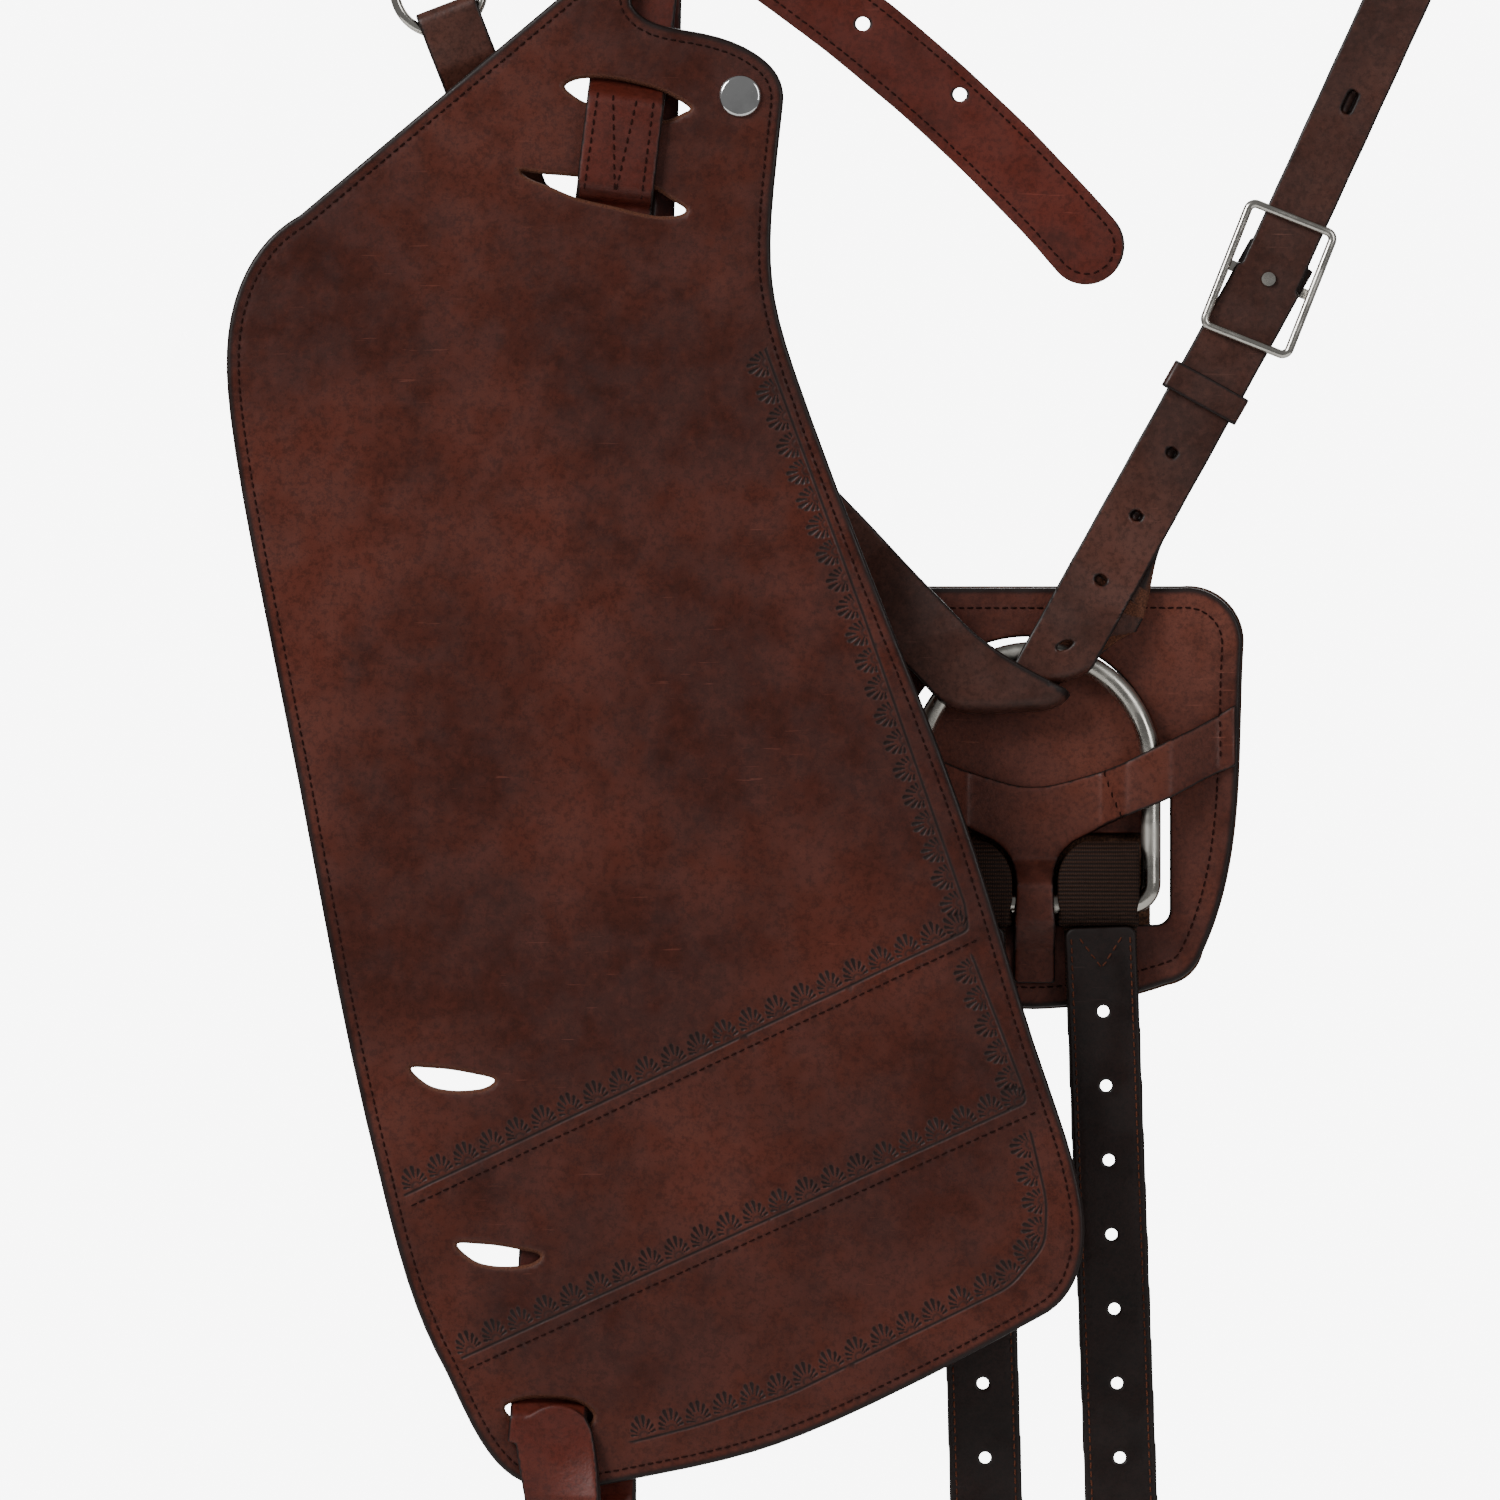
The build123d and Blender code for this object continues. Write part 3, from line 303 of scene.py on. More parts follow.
def face_loops(node, depth):
    """The closed outlines of a node's flat face at one depth, as (x, z) arrays, longest first."""
    mesh = nodes[node].data
    at = coords(mesh)
    key = {}
    ids = np.array([key.setdefault(tuple(np.round(p, 3)), len(key)) for p in at])
    flat = np.abs(at[:, 1] + depth) < 0.02
    edges = {}
    for poly in mesh.polygons:
        around = list(poly.vertices)
        if all(flat[v] for v in around):
            for a, b in zip(around, around[1:] + around[:1]):
                a, b = ids[a], ids[b]
                if (b, a) in edges:
                    del edges[(b, a)]
                else:
                    edges[(a, b)] = True
    place = {ids[i]: at[i] for i in range(len(at))}
    after = {a: b for a, b in edges}
    loops = []
    while after:
        start, here = next(iter(after.items()))
        loop = [start]
        del after[start]
        while here != start and here in after:
            loop.append(here)
            here = after.pop(here)
        loops.append(np.array([place[i][[0, 2]] for i in loop]))
    return sorted(loops, key=lambda p: -np.ptp(p, 0).sum())


def resample(loop, step, closed=True):
    """Even points along a line of (x, z) points."""
    line = np.vstack([loop, loop[:1]]) if closed else np.asarray(loop, float)
    size = np.hypot(*np.diff(line, axis=0).T)
    line = line[np.r_[True, size > 1e-6]]
    size = size[size > 1e-6]
    at = np.r_[0, np.cumsum(size)]
    count = max(4, int(round(at[-1] / step)))
    want = np.linspace(0, at[-1], count, endpoint=not closed)
    return np.c_[np.interp(want, at, line[:, 0]), np.interp(want, at, line[:, 1])]


def inside(loop, points):
    """Which points lie inside a closed outline."""
    x, z = points[:, 0], points[:, 1]
    found = np.zeros(len(points), bool)
    for (x0, z0), (x1, z1) in zip(loop, np.roll(loop, -1, 0)):
        if z0 != z1:
            cut = (z0 > z) != (z1 > z)
            found ^= cut & (x < (x1 - x0) * (z - z0) / (z1 - z0) + x0)
    return found


class Outline:
    """Distance to a line of points, measured exactly near the nearest one."""

    def __init__(self, points, closed=True):
        self.points = resample(points, 0.7, closed)
        self.closed = closed
        self.tree = point_tree(self.points)

    def distance(self, at):
        near = np.array([self.tree.find((x, z, 0))[1] for x, z in at])
        total = len(self.points)
        best = np.full(len(at), 1e9)
        for step in (-1, 0):
            a_id, b_id = near + step, near + step + 1
            if self.closed:
                a_id, b_id = a_id % total, b_id % total
            else:
                a_id, b_id = np.clip(a_id, 0, total - 1), np.clip(b_id, 0, total - 1)
            a, b = self.points[a_id], self.points[b_id]
            run = b - a
            size = np.maximum((run**2).sum(1), 1e-9)
            t = np.clip(((at - a) * run).sum(1) / size, 0, 1)
            best = np.minimum(best, np.hypot(*(at - a - run * t[:, None]).T))
        return best


def turned_left(loop):
    """A closed outline, turned round if need be so that its inside is on the left."""
    area = (loop[:, 0] * np.roll(loop[:, 1], -1) - loop[:, 1] * np.roll(loop[:, 0], -1)).sum()
    return loop[::-1] if area < 0 else loop


def lattice(low, high, step):
    x, z = np.meshgrid(np.arange(low[0], high[0], step), np.arange(low[1], high[1], step))
    x[1::2] += step / 2
    return np.c_[x.ravel(), z.ravel()]


def triangulate(loops, points):
    """Triangles over an outline with holes.  The loops' points come first."""
    at = np.vstack(list(loops) + [points])
    edges, base = [], 0
    for loop in loops:
        n = len(loop)
        edges += [(base + i, base + (i + 1) % n) for i in range(n)]
        base += n
    out = delaunay_2d_cdt([Vector(p) for p in at], edges, [], 0, 1e-5)
    verts = np.array([tuple(v) for v in out[0]])
    faces = np.array([f for f in out[2] if len(f) == 3])
    middle = verts[faces].mean(1)
    keep = inside(loops[0], middle)
    for hole in loops[1:]:
        keep &= ~inside(hole, middle)
    faces = faces[keep]
    used = np.zeros(len(verts), bool)
    used[faces] = True
    order = np.cumsum(used) - 1
    return verts[used], order[faces]


def ease(value, start, reach):
    """0 before start, 1 a reach beyond it, and smooth between."""
    t = np.clip((value - start) / reach, 0, 1)
    return t * t * (3 - 2 * t)


def round_over(distance, radius):
    d = np.clip(distance, 0, radius)
    return radius - np.sqrt(radius**2 - (radius - d) ** 2)


def sheet_points(loops, lines, coarse, fine):
    """Points over a sheet: rings inside its edges, then lattices of two or three sizes."""
    low, high = loops[0].min(0), loops[0].max(0)
    rings = []
    for loop in loops:
        ahead = np.roll(loop, -1, 0) - np.roll(loop, 1, 0)
        inward = np.c_[-ahead[:, 1], ahead[:, 0]] / np.hypot(*ahead.T)[:, None]
        rings += [loop + inward * d for d in EDGE_RINGS]
    groups = [(np.vstack(rings), 0.2, np.inf)]
    grid = lattice(low, high, coarse)
    if fine is not None:
        spots, reach = fine
        tree = point_tree(spots)

        def near(cell):
            middle = (cell + 0.5) * coarse + low
            return np.array([tree.find((x, z, 0))[2] < reach for x, z in middle])

        close = lattice(low, high, CLOSE)
        cell = np.floor((close - low) / coarse).astype(int)
        cells, back_to = np.unique(cell, axis=0, return_inverse=True)
        groups.append((close[near(cells)[back_to.ravel()]], RIM, np.inf))
        grid = grid[~near(np.floor((grid - low) / coarse).astype(int))]
    groups += [(grid, BAND - 0.5, np.inf), (lattice(low, high, MIDDLING), RIM, BAND)]
    kept = []
    for group, least, most in groups:
        away = np.min([line.distance(group) for line in lines], 0)
        good = inside(loops[0], group) & (away > least) & (away < most)
        for hole in loops[1:]:
            good &= ~inside(hole, group)
        kept.append(group[good])
    return np.vstack(kept)


def wall_faces(loops, below):
    """Triangles between the loops' points and the same points further down the list."""
    walls, base = [], 0
    for loop in loops:
        count = len(loop)
        for i in range(count):
            a, b = base + i, base + (i + 1) % count
            walls += [(a, below + a, b), (b, below + a, below + b)]
        base += count
    return np.array(walls)


def flat_piece(name, loops, back, front, rounding=1.0, coarse=4.0, fine=None, shape=None, raw=()):
    """A sheet of leather between two depths, with rounded front edges.

    fine is (points, reach): a closer lattice is used near those points.  shape(at, height, marks)
    changes the front's height and its marks.  raw lists which holes have a bare cut edge.
    """
    loops = [turned_left(resample(loop, STEP)) for loop in loops]
    loops[1:] = [loop[::-1] for loop in loops[1:]]
    lines = [Outline(loop) for loop in loops]
    at, faces = triangulate(loops, sheet_points(loops, lines, coarse, fine))
    away = [line.distance(at) for line in lines]
    height = -round_over(np.min(away, 0), rounding)
    marks = {
        "edge": np.clip(1 - away[0] / EDGE_WEAR, 0, 1),
        "raw": np.zeros(len(at)),
        "stamp": np.zeros(len(at)),
    }
    for i, d in enumerate(away[1:], 1):
        if i in raw:
            marks["raw"] = np.maximum(marks["raw"], np.clip(1.5 - d / 1.3, 0, 1))
            height -= np.clip(CUT_REACH - d, 0, CUT_REACH) * CUT_SLOPE
        else:
            marks["edge"] = np.maximum(marks["edge"], np.clip(1 - d / HOLE_WEAR, 0, 1))
    if shape:
        height = shape(at, height, marks)
    under = lattice(loops[0].min(0), loops[0].max(0), 12)
    under = under[inside(loops[0], under) & (lines[0].distance(under) > 4)]
    under_at, under_faces = triangulate(loops, under)
    n = len(at)
    verts = np.vstack([
        np.c_[at[:, 0], -(front + height), at[:, 1]],
        np.c_[under_at[:, 0], np.full(len(under_at), -back), under_at[:, 1]],
    ])
    faces = np.vstack([faces, under_faces[:, ::-1] + n, wall_faces(loops, n)])
    for key in marks:
        marks[key] = np.r_[marks[key], np.zeros(len(under_at))]
    marks["edge"][n:n + sum(len(loop) for loop in loops)] = 1
    return make_mesh(name, verts, faces, marks)


def soften(name, node, voxel, smooth, across, wobble=0.12, border=1.5):
    """A node's solid as a finely meshed piece with rounded, burnished edges.

    across lists the directions in which its edges face.  Without any, they face sideways.
    """
    mesh = nodes[node].data.copy()
    mesh.name = name
    piece = bpy.data.objects.new(name, mesh)
    bpy.context.scene.collection.objects.link(piece)
    remesh = piece.modifiers.new("remesh", "REMESH")
    remesh.mode = "VOXEL"
    remesh.voxel_size = voxel * MM
    relax = piece.modifiers.new("relax", "SMOOTH")
    relax.iterations = smooth
    relax.factor = 0.5
    made = bpy.data.meshes.new_from_object(
        piece.evaluated_get(bpy.context.evaluated_depsgraph_get())
    )
    piece.modifiers.clear()
    piece.data = made
    at = coords(made)
    made.update()
    normal = np.empty(len(at) * 3, np.float32)
    made.vertices.foreach_get("normal", normal)
    normal = normal.reshape(-1, 3)
    if across:
        side = np.max([np.abs(normal @ (np.array(d) / np.linalg.norm(d))) for d in across], 0)
    else:
        side = 0.85 * (np.abs(normal[:, 1]) < 0.3)
    wave = np.sin(at[:, 0] / 9.1 + at[:, 2] / 13.7) * np.sin(at[:, 2] / 7.3 - at[:, 0] / 17.9)
    at += normal * (wave * wobble)[:, None]
    move_points(made, at)
    edge = np.clip((side - 0.35) / 0.5, 0, 1)
    tree = point_tree(at[edge > 0.9])
    away = np.array([tree.find(p)[2] for p in at])
    edge = np.maximum(edge, np.clip(1.2 - away / border, 0, 0.9))
    set_marks(made, {"edge": edge})
    made.shade_smooth()
    return piece


def tube_faces(rings, sides):
    """Quads over a tube whose points go round ring after ring."""
    return np.array([
        (i * sides + k, i * sides + (k + 1) % sides, (i + 1) * sides + (k + 1) % sides,
         (i + 1) * sides + k)
        for i in range(rings - 1) for k in range(sides)
    ])


# ------------------------------------------------------------------- stitches
def stitch_mesh():
    """One stitch lying along x: a thread that dives into the leather at both ends."""
    rings, sides = 7, 6
    verts = []
    for i in range(rings):
        t = i / (rings - 1) * 2 - 1
        lift = 0.30 * (1 - t**4) - 0.32 * t**2
        r = 0.36 * (1 - 0.45 * t**4)
        for k in range(sides):
            a = tau * k / sides
            verts.append((t, r * cos(a), lift + r * sin(a)))
    return np.array(verts), tube_faces(rings, sides)


STITCH = stitch_mesh()


def sew(name, rows, onto, body, look="thread", length=2.9, pitch=3.6):
    """Rows of stitches pressed on to a piece.  Each row is a line of (x, z) points."""
    mesh = onto.data
    at = coords(mesh)
    tree = BVHTree.FromPolygons(
        [Vector(p) for p in at], [tuple(p.vertices) for p in mesh.polygons]
    )
    verts, faces, base = [], [], 0
    shape, quads = STITCH
    for row in rows:
        line = resample(np.asarray(row, float), pitch, closed=False)
        for a, b in zip(line[:-1], line[1:]):
            middle = (a + b) / 2
            hit, normal, _, _ = tree.ray_cast(
                Vector((middle[0], -200, middle[1])), Vector((0, 1, 0))
            )
            if hit is None or abs(normal.y) < 0.35:
                continue
            if normal.y > 0:
                normal = -normal
            run = Vector((b[0] - a[0], 0, b[1] - a[1]))
            run = (run - normal * run.dot(normal)).normalized()
            turn = Matrix.Rotation(rng.normal(0, 0.05), 3, normal)
            run = turn @ run
            out = np.array(normal)
            x = np.array(run)
            y = np.cross(out, x)
            scale = length / 2 * (1 + rng.normal(0, 0.05))
            placed = (
                np.array(hit) + np.outer(shape[:, 0] * scale, x) + np.outer(shape[:, 1], y)
                + np.outer(shape[:, 2], out)
            )
            verts.append(placed)
            faces.append(quads + base)
            base += len(shape)
    piece = make_mesh(name, np.vstack(verts), np.vstack(faces))
    return finish_piece(piece, look, body, None)


def offset(line, distance, closed=False):
    """A line moved to its left by a distance."""
    line = np.asarray(line, float)
    if closed:
        run = np.roll(line, -1, 0) - np.roll(line, 1, 0)
    else:
        run = np.gradient(line, axis=0)
    side = np.c_[-run[:, 1], run[:, 0]] / np.maximum(np.hypot(*run.T), 1e-9)[:, None]
    return line + side * distance


def seam_inside(loop, distance):
    """A closed row of stitches a distance inside an outline."""
    row = offset(turned_left(resample(loop, 2.0)), distance, closed=True)
    return np.vstack([row, row[:1]])


def bend_line(points, radius=6.0, step=1.0):
    """A line through points with its corners eased."""
    line = resample(np.asarray(points, float), step, closed=False)
    width = max(1, int(radius / step))
    padded = np.vstack([np.repeat(line[:1], width, 0), line, np.repeat(line[-1:], width, 0)])
    kernel = np.hanning(2 * width + 1)
    kernel /= kernel.sum()
    eased = np.c_[[np.convolve(padded[:, i], kernel, "valid") for i in (0, 1)]].T
    eased[0], eased[-1] = line[0], line[-1]
    return eased


# --------------------------------------------------------------- fender tooling
CREASES = [
    bend_line([(49.6, -267.8), (91, -380), (132.2, -497.9), (133.5, -508.3), (-99.2, -617.8)], 4),
    bend_line([(135.1, -518.6), (155.8, -572.3), (157.5, -579.5), (-75.6, -685.1)], 4),
    bend_line([(159.1, -590.9), (166.0, -620), (165.3, -638.4), (150.8, -655.6), (109, -676),
               (60, -700), (20, -713.5), (-14.5, -722.1)], 10),
]
# rows of stitches along the two slanting borders
BORDER_SEAMS = [[(137.5, -512.2), (-97.0, -622.5)], [(161.8, -583.4), (-73.4, -689.8)]]
SHELL_PITCH = 11.8
SHELL_HALF = 5.6
SHELL_TALL = 9.2
SHELL_SPREAD = radians(172)
SHELL_STEPS = 8            # points along a crease for each shell
PETALS = 8


def shell_places():
    """Where each shell stamp sits, and which way it opens."""
    places = []
    for crease in CREASES:
        line = resample(offset(crease, -1.3), SHELL_PITCH / SHELL_STEPS, closed=False)
        count = len(line)
        for i in range(SHELL_STEPS // 2, count - 3, SHELL_STEPS):
            run = line[min(i + 3, count - 1)] - line[max(i - 3, 0)]
            run /= np.hypot(*run)
            opening = np.array([run[1], -run[0]])
            places.append((line[i], run, opening))
    return places


SHELLS = shell_places()


def shell_depth(u, v):
    """How far a shell stamp presses in, for places along and away from its crease."""
    angle = np.arctan2(u, v)
    reach = np.hypot(u, v)
    rim = SHELL_HALF * SHELL_TALL / np.hypot(SHELL_TALL * np.sin(angle), SHELL_HALF * np.cos(angle))
    each = SHELL_SPREAD / PETALS
    phase = np.clip((angle + SHELL_SPREAD / 2) / SHELL_SPREAD, 0, 0.9999) * PETALS
    gap = (phase - np.floor(phase) - 0.5) * each
    s = np.clip((reach / rim - 0.36) / 0.62, -0.3, 1.3)
    half = (0.12 + 0.25 * np.clip(s, 0, 1) ** 0.9) * each * reach
    sideways = np.abs(gap * reach) / np.maximum(half, 0.05)
    ends = np.abs(2 * s - 1) ** 5
    petal = np.clip(1.25 - sideways**2 - ends, 0, 1) * (np.abs(angle) < SHELL_SPREAD / 2)
    root = np.clip(1.1 - (np.abs(reach - 1.7) / 0.75) ** 2, 0, 1) * (v > -0.2)
    return np.maximum(petal, root * 0.4)


def fender_shape(at, height, marks):
    for place, run, opening in SHELLS:
        rel = at - place
        close = (np.abs(rel[:, 0]) < 11) & (np.abs(rel[:, 1]) < 11)
        part = rel[close]
        u, v = part @ run, part @ opening
        pressed = shell_depth(u, v)
        height[close] -= 0.5 * pressed
        marks["stamp"][close] = np.maximum(marks["stamp"][close], pressed)
    for crease in CREASES:
        d = Outline(crease, closed=False).distance(at)
        groove = np.exp(-((d / 0.55) ** 2))
        height -= 0.5 * groove
        marks["stamp"] = np.maximum(marks["stamp"], groove * 0.8)
    height += 0.22 * np.sin(at[:, 0] / 31 + 1.0) * np.sin(at[:, 1] / 43)
    return height


def sunk_rows(rows):
    """A shape that sinks a shallow channel under rows of stitches."""
    lines = [Outline(np.array(row), closed=False) for row in rows]

    def shape(at, height, marks):
        for line in lines:
            sunk = np.exp(-((line.distance(at) / 0.8) ** 2))
            height = height - 0.32 * sunk
            marks["stamp"] = np.maximum(marks["stamp"], 0.3 * sunk)
        return height

    return shape


def closed_curve(points, steps=6):
    """A smooth closed line through points."""
    p = np.asarray(points, float)
    before, after, beyond = np.roll(p, 1, 0), np.roll(p, -1, 0), np.roll(p, -2, 0)
    t = np.linspace(0, 1, steps, endpoint=False)[:, None, None]
    bent = 0.5 * (2 * p + (after - before) * t + (2 * before - 5 * p + 4 * after - beyond) * t**2
                  + (3 * p - before - 3 * after + beyond) * t**3)
    return bent.transpose(1, 0, 2).reshape(-1, 2)


UPPER_SLOT = [(-33.1, -159.5), (-28.9, -157.0), (-22.7, -156.2), (-12.4, -157.0), (-2.1, -159.1),
              (8.3, -162.4), (18.2, -168.2), (16.1, -170.4), (7.9, -173.6), (-2.1, -171.9),
              (-18.6, -167.4), (-24.8, -166.1), (-30.2, -162.8)]
SECOND_SLOT = [(-51.4, -194.6), (-43.4, -195.7), (-28.1, -197.0), (-12.8, -198.9), (2.5, -201.6),
               (10.3, -206.2), (16.8, -210.4), (14.0, -212.8), (6.2, -213.2), (-2.1, -211.9),
               (-12.8, -209.2), (-28.1, -205.6), (-39.3, -201.0), (-47.5, -197.8)]
FOOT_SLOT = [(-57.5, -705.0), (-50.0, -702.4), (-40.0, -702.0), (-28.0, -703.6), (-21.5, -708.5),
             (-23.5, -712.5), (-30.0, -714.5), (-42.0, -713.2), (-52.0, -711.0), (-56.5, -708.5)]
STRING_SLOT = [(-16.4, 4.6), (-8.0, 4.5), (0.0, 3.8), (9.0, 2.2), (17.4, 0.2), (17.0, -1.9),
               (12.0, -4.1), (2.0, -4.8), (-7.0, -3.4), (-13.0, 0.2)]
string_slots = [
    closed_curve(np.array(STRING_SLOT) + middle) for middle in ((-80.2, -569.9), (-61.2, -642.6))
]
slot_loops = [closed_curve(UPPER_SLOT), closed_curve(SECOND_SLOT), closed_curve(FOOT_SLOT)]
slot_loops += string_slots


def with_slots(node, depth):
    """A fender ply's outline and stud hole from the frame, with its slots as they are cut."""
    loops = face_loops(node, depth)
    stud_hole = [p for p in loops[1:] if np.ptp(p[:, 0]) < 8]
    return [loops[0]] + slot_loops + stud_hole


fender_loops = with_slots("fender_skin", 40.6)
edge_row = seam_inside(fender_loops[0], 5.0)
edge_channel = sunk_rows([edge_row] + BORDER_SEAMS)
slot_holes = range(1, 1 + len(slot_loops))
shell_spots = np.vstack([p + opening * out for out in (3, 8) for p, _, opening in SHELLS])
fender = flat_piece(
    "fender_face", fender_loops, 37.2, 40.6, 1.6,
    fine=(shell_spots, 8.5),
    shape=lambda at, h, m: edge_channel(at, fender_shape(at, h, m), m), raw=slot_holes,
)
finish_piece(fender, "fender", "fender", "fender_leather", "fender_skin")
sew("fender_edge_stitches", [edge_row], fender, "fender")
sew("fender_border_stitches", BORDER_SEAMS, fender, "fender")

lining = flat_piece("fender_lining_suede", with_slots("fender_lining", 37.2), 36.0, 37.2, 0.3, 6)
finish_piece(lining, "lining", "fender", "lining_leather", "fender_lining")


# ------------------------------------------------------------- plate and billets
plate_loops = face_loops("plate_face", -2.3)
plate_row = seam_inside(plate_loops[0], 8.3)
plate = flat_piece(
    "plate_leather_face", plate_loops, -5.8, -2.3, 1.3, 5, shape=sunk_rows([plate_row])
)
finish_piece(plate, "plate", "rigging", "plate_leather", "plate_face")
sew("plate_stitches", [plate_row], plate, "rigging")
backing = flat_piece("plate_suede", face_loops("plate_backing", -5.8), -8.0, -5.8, 0.5, 6)
finish_piece(backing, "backing", "rigging", "suede_backing", "plate_backing")

BILLET_MIDDLE, BILLET_TOP = 161.6, -507.4    # between the billets, and their upper ends
BILLET_SEAM = 12.2
WEB_FRONT = -9.2                             # the webbing's front lies nearer than this
WEB_DRAWN_IN, WEB_SWELL = -496, -485         # it narrows below the one and swells at the other


def billet_rows(start, lean):
    """Rows of stitches along a billet's edges, drawn in at its point, and a vee at its top."""
    down = np.array([lean, -1.0]) / hypot(lean, 1)
    over = np.array([down[1], -down[0]]) * -1

    def on_billet(s, w):
        return tuple(start + down * s + over * w)

    rows = [
        [on_billet(s, w) for s in (4, 376)] + [on_billet(389, w * 0.72), on_billet(396, w * 0.2)]
        for w in (-BILLET_SEAM, BILLET_SEAM)
    ]
    return rows + [[on_billet(4, -9.0), on_billet(17, 0.0), on_billet(4, 9.0)]]


def web_front(at, middle_x):
    """The webbing's front drawn in low down, swollen over the dee's bar, and ribbed across."""
    seen = at[:, 1] < WEB_FRONT
    low = np.clip((WEB_DRAWN_IN - at[:, 2]) / 12, 0, 1)
    at[:, 0] += (middle_x - at[:, 0]) * 0.14 * low * seen
    bulge = np.clip(1 - ((at[:, 2] - WEB_SWELL) / 17) ** 2, 0, 1)
    at[:, 1] -= 2.4 * bulge * np.clip(1 - ((at[:, 0] - middle_x) / 17) ** 2, 0, 1) * seen
    rib = np.sin((at[:, 2] - (at[:, 0] - middle_x) ** 2 * 0.012) * tau / 2.3)
    at[:, 1] -= 0.16 * rib * seen
    return at


for end, side, lean in (("front", -1, 0.030), ("rear", 1, 0.037)):
    rows = billet_rows(np.array([BILLET_MIDDLE + side * 27.2, BILLET_TOP]), lean)
    billet = flat_piece(
        f"{end}_billet_strap", face_loops(f"{end}_billet_leather", 9.0), 5.0, 9.0, 1.1, 5,
        shape=sunk_rows(rows),
    )
    finish_piece(billet, "billet", f"{end}_billet", "billet_leather", f"{end}_billet_leather")
    sew(f"{end}_billet_stitches", rows, billet, f"{end}_billet", "pale_thread")
    web = soften(f"{end}_billet_web", f"{end}_billet_webbing", 0.8, 7, [(1, 0, 0)], 0.05)
    move_points(web.data, web_front(coords(web.data), BILLET_MIDDLE + side * 26.4))
    finish_piece(web, "webbing", f"{end}_billet", "webbing", f"{end}_billet_webbing")


# ---------------------------------------------------------------- other straps
def strap(name, node, look, slot, body, across, voxel=0.8, smooth=4):
    return finish_piece(soften(name, node, voxel, smooth, across), look, body, slot, node)


# each rigging strap's start, the way it runs, and the way across it, as (x, z)
FRONT_AT, FRONT_RUN, FRONT_SIDE = (-51.2, -209.1), (0.6875, -0.7262), (0.7262, 0.6875)
REAR_AT, REAR_RUN, REAR_SIDE = (258.7, -238.4), (-0.4864, -0.8737), (0.8737, -0.4864)
STRAP_HALF = 14.75
# how far along each strap its lower fold starts to turn, and over what length it turns
FRONT_FOLD, REAR_FOLD = (195, 65), (140, 42)
PLY_ASIDE = 8.5            # how far the rear strap's back ply lies to one side


def in_space(direction):
    return (direction[0], 0, direction[1])


def skew_fold(at):
    """The front strap meets the dee at an angle, so its fold lies level and ends in a round tip."""
    rel = at[:, [0, 2]] - FRONT_AT
    run, wide = rel @ FRONT_RUN, rel @ FRONT_SIDE
    slide = 0.92 * wide * ease(run, *FRONT_FOLD)
    near_fold = np.clip((run - FRONT_FOLD[0]) / FRONT_FOLD[1], 0, 1)
    upper_corner = np.clip((wide - 8) / (STRAP_HALF - 8), 0, 1) ** 2
    lower_corner = np.clip((-wide - 9) / (STRAP_HALF - 9), 0, 1) ** 2
    slide -= (8 * upper_corner + 6 * lower_corner) * near_fold**2
    tip = np.clip(wide / STRAP_HALF, 0, 1) ** 1.5 * np.clip((run - 240) / 45, 0, 1) ** 2
    return at + np.outer(slide, in_space(FRONT_RUN)) + np.outer(tip, (15.0, 0, 2.0))


def rear_lay(at):
    """The rear strap's fold follows the dee, and its back ply lies a little to one side.

    Also says which points lie between the two plies, where the leather is bare.
    """
    rel = at[:, [0, 2]] - REAR_AT
    run, wide = rel @ REAR_RUN, rel @ REAR_SIDE
    slide = -(0.8 * wide + 0.02 * wide**2) * ease(run, *REAR_FOLD)
    aside = PLY_ASIDE * ease(run, 114, 40) * np.clip((at[:, 1] + 4.7) / 0.8, 0, 1)
    aside *= 1 - np.clip((run - 165) / 22, 0, 1)
    moved = at + np.outer(slide, in_space(REAR_RUN)) + np.outer(aside, in_space(REAR_SIDE))
    return moved, (aside > 2) * (aside < PLY_ASIDE - 0.1)


front = strap("front_strap_leather", "front_strap", "rigging", "rigging_leather", "rigging",
              [(0.935, 0, 0.354), (0.726, 0, 0.688)])
move_points(front.data, skew_fold(coords(front.data)))
rear = strap("rear_strap_leather", "rear_strap", "rigging", "rigging_leather", "rigging",
             [(0.874, 0, -0.486)])
moved, between = rear_lay(coords(rear.data))
move_points(rear.data, moved)
set_marks(rear.data, {"raw": between.astype(float)})
retainer = strap("retainer_leather", "ring_retainer", "plate", "plate_leather", "rigging",
                 [], 0.7, 22)
strap("keeper_leather", "strap_keeper", "rigging", "rigging_leather", "keeper",
      [(0.486, 0, 0.874)], 0.5)
upper = strap("stirrup_strap_upper", "stirrup_leather_top", "strap", "stirrup_leather", "hanger",
              [(1, 0, 0)])
strap("chape_leather", "buckle_chape", "strap", "stirrup_leather", "hanger", [(1, 0, 0)], 0.6)

LOOP_TOP, LOOP_FOOT = -708, -760    # where the lower leather starts to turn, and hangs free
LOOP_TURN = radians(42)
LOOP_DEPTH = 35.6                   # midway between its two runs


def loop_twist(at):
    """The lower end of the stirrup leather turned to face the rider's foot.

    Where the fender lies between its two runs, they're held clear of it.
    """
    turn = -LOOP_TURN * ease(-at[:, 2], -LOOP_TOP, 75)
    middle_x = -26.5 + (at[:, 2] - LOOP_FOOT) * -0.12
    x, y = at[:, 0] - middle_x, at[:, 1] + LOOP_DEPTH
    held = np.clip((at[:, 2] - LOOP_FOOT) / 18, 0, 1) * 16 * np.sin(-turn) * np.sign(y)
    return np.c_[
        middle_x + x * np.cos(turn) - y * np.sin(turn),
        x * np.sin(turn) + y * np.cos(turn) - LOOP_DEPTH + held, at[:, 2],
    ]


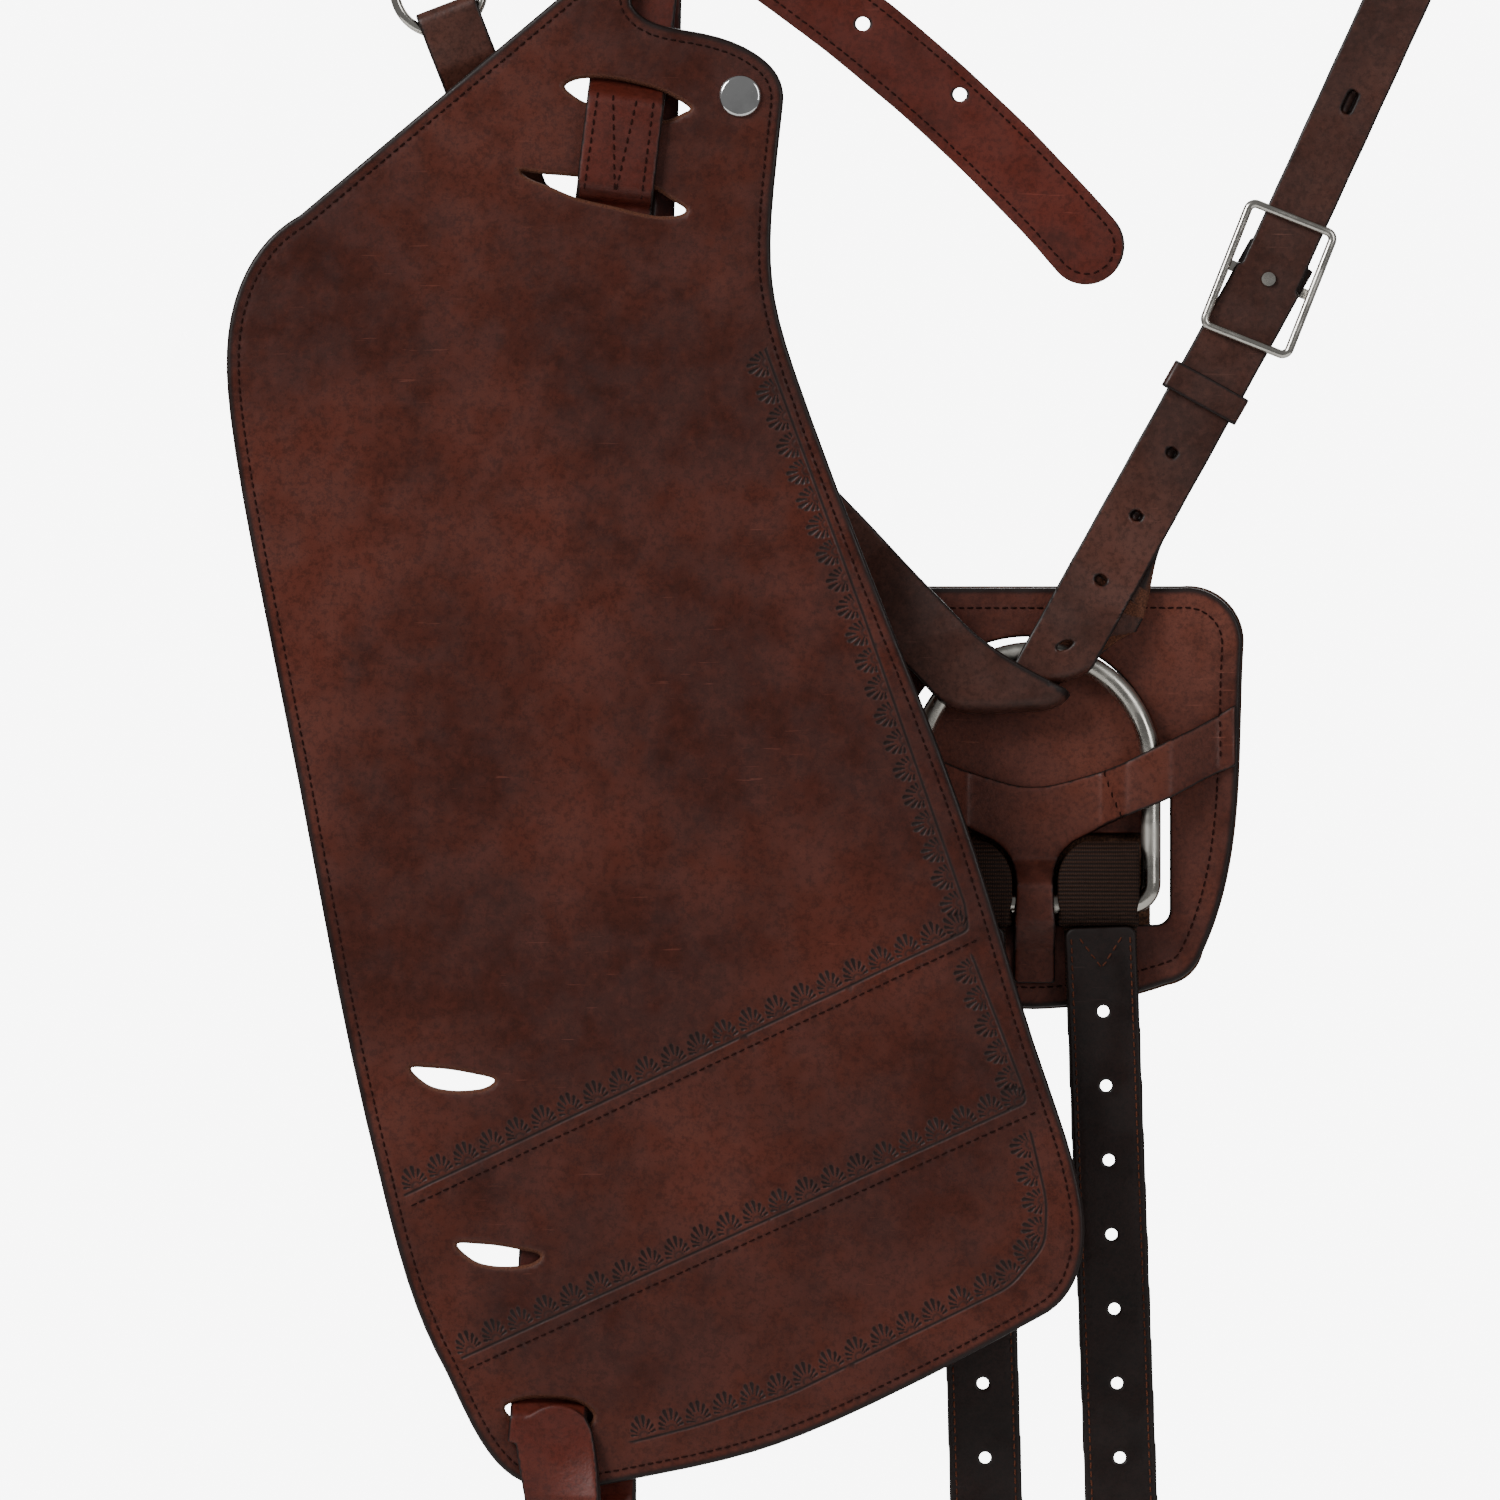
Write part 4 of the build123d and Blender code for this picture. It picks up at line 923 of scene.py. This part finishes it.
loop = soften("stirrup_strap_lower", "stirrup_leather_loop", 0.9, 4, [(1, 0, 0.1)])
move_points(loop.data, loop_twist(coords(loop.data)))
finish_piece(loop, "strap", "fender", "stirrup_leather", "stirrup_leather_loop")


BRIDGE_POINTS, BRIDGE_ROUND = 24, 0.95
BRIDGE_HALF_WIDE, BRIDGE_HALF_THICK = 15.1, 1.5    # both without the rounding


def bridge(name, depth):
    """One ply of the stirrup leather, running on past the fender's pivot."""
    section = []
    for k in range(BRIDGE_POINTS):
        a = tau * k / BRIDGE_POINTS
        quarter = k * 4 // BRIDGE_POINTS
        side, face = (1, -1, -1, 1)[quarter], (1, 1, -1, -1)[quarter]
        section.append((side * BRIDGE_HALF_WIDE + BRIDGE_ROUND * cos(a),
                        face * BRIDGE_HALF_THICK + BRIDGE_ROUND * sin(a)))
    section = np.array(section)
    heights = np.linspace(-106.7, -91.7, 26)
    points = np.vstack([
        np.c_[section[:, 0], section[:, 1] - depth, np.full(BRIDGE_POINTS, z)] for z in heights
    ])
    edge = np.tile(np.abs(section[:, 0]) > BRIDGE_HALF_WIDE + 0.1, len(heights))
    piece = make_mesh(name, points, tube_faces(len(heights), BRIDGE_POINTS), {"edge": edge * 0.8})
    finish_piece(piece, "strap", None, "stirrup_leather")
    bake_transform(piece)


bridge("strap_bridge_front", 28.0)
bridge("strap_bridge_back", 22.9)


# ------------------------------------------------------- stitches of the straps
TAIL_BEND, TAIL_TURN, TAIL_STRAIGHT = 40, radians(54.2), 57
TAIL_SWEEP, TAIL_SWEEP_TURN = 700, radians(13.3)
TAIL_SEAM = 11.8


def tail_line(side):
    """A line along the punched tail, a distance to the upper side of its middle."""
    centre = np.array((TAIL_BEND, -50.2))
    points = [
        centre - (TAIL_BEND - side) * np.array((cos(a), sin(a)))
        for a in np.linspace(0.3, 1, 6) * TAIL_TURN
    ]
    ahead = np.array((sin(TAIL_TURN), -cos(TAIL_TURN)))
    left = np.array((cos(TAIL_TURN), sin(TAIL_TURN)))
    start = centre - TAIL_BEND * left + ahead * TAIL_STRAIGHT
    centre = start - left * TAIL_SWEEP
    points += [
        centre + (left * cos(a) + ahead * sin(a)) * (TAIL_SWEEP + side)
        for a in np.linspace(0, 1, 9) * TAIL_SWEEP_TURN
    ]
    return points


tail_rows = [tail_line(side) for side in (-TAIL_SEAM, TAIL_SEAM)]
tip_side = (tail_rows[1][-1] - tail_rows[0][-1]) / 2
tip = tail_rows[0][-1] + tip_side
tip_ahead = tip_side[::-1] * (1, -1)
tip_arc = [tip + tip_side * cos(a) + tip_ahead * sin(a) for a in np.linspace(0, pi, 13)]
sew("tail_stitches", tail_rows + [tip_arc], upper, "hanger")
sew("slot_strap_stitches", [
    bend_line([(-19.3, -161.5), (-25.2, -203.0)], 1),
    bend_line([(3.6, -166.0), (-1.6, -207.5)], 1),
    bend_line([(-13.2, -162.5), (-12.5, -203.3)], 1),
    bend_line([(-3.3, -165.0), (-12.0, -203.3)], 1),
], loop, "fender")
sew("retainer_stitches", [
    bend_line([(190.2, -441.6), (194.0, -453.0), (198.3, -463.0)], 2),
    bend_line([(238.6, -417.0), (239.0, -437.5)], 1),
], retainer, "rigging")


# ----------------------------------------------------------------------- metal
METAL = {
    "front_ring": "nickel", "rear_ring": "nickel", "dee_ring": "dee",
    "strap_buckle_frame": "nickel", "strap_buckle_post": "nickel",
    "stirrup_buckle_frame": "nickel", "stirrup_buckle_tongue": "nickel",
    "front_ring_clip": "steel", "rear_ring_clip": "steel", "stirrup_bar": "steel",
    "stud_cap": "stud", "stud_post": "steel", "stud_washer": "steel",
}
for node, look in METAL.items():
    metal = nodes[node]
    metal.data.materials.clear()
    metal.data.materials.append(LOOKS[look])


# --------------------------------------------------------- stage, light, camera
def area_light(name, place, size, power, target=(0.05, 0, -0.43)):
    data = bpy.data.lights.new(name, "AREA")
    data.shape = "RECTANGLE"
    data.size, data.size_y = size
    data.energy = power
    made = bpy.data.objects.new(name, data)
    made.location = place
    made.rotation_mode = "QUATERNION"
    made.rotation_quaternion = (Vector(target) - Vector(place)).to_track_quat("-Z", "Y")
    bpy.context.scene.collection.objects.link(made)


area_light("key", (-1.5, -1.5, 0.9), (1.0, 1.0), 62)
area_light("fill", (1.7, -1.9, 0.3), (0.8, 1.6), 20)
area_light("rim", (0.6, 1.8, 0.9), (1.6, 1.2), 34)

AMBIENT, BACKDROP = 0.2, 8.0    # how bright the world is for the object, and for the camera
world = bpy.data.worlds.new("studio")
bpy.context.scene.world = world
world.use_nodes = True
background = world.node_tree.nodes["Background"]
background.inputs["Color"].default_value = (1.0, 1.0, 1.0, 1.0)
seen = world.node_tree.nodes.new("ShaderNodeLightPath").outputs["Is Camera Ray"]
strength = world.node_tree.nodes.new("ShaderNodeMapRange")
strength.inputs["To Min"].default_value = AMBIENT
strength.inputs["To Max"].default_value = BACKDROP
world.node_tree.links.new(seen, strength.inputs["Value"])
world.node_tree.links.new(strength.outputs[0], background.inputs["Strength"])

FLOOR_R, FLOOR_Z, FLOOR_SIDES = 1300, -925, 96
turns = tau / FLOOR_SIDES * np.arange(FLOOR_SIDES)
ring = np.c_[np.cos(turns), np.sin(turns)] * FLOOR_R
floor_points = np.vstack([[(0, 0, FLOOR_Z)], np.c_[ring, np.full(FLOOR_SIDES, FLOOR_Z)]])
floor_faces = [(0, 1 + k, 1 + (k + 1) % FLOOR_SIDES) for k in range(FLOOR_SIDES)]
floor = make_mesh("floor", floor_points, floor_faces)
paint = Shader("floor_paint")
floor.data.materials.append(
    paint.set(Base_Color=rgb(238, 238, 236), Roughness=paint.ramp(paint.noise(30), 0, 1, 0.7, 0.8))
)

# straight in front of the fender and far off, with a long lens
lens = bpy.data.cameras.new("camera")
lens.lens = 400
camera = bpy.data.objects.new("camera", lens)
camera.location = (0.0434, -6.927, -0.4339)
camera.rotation_euler = (pi / 2, 0, 0)
bpy.context.scene.collection.objects.link(camera)
bpy.context.scene.camera = camera
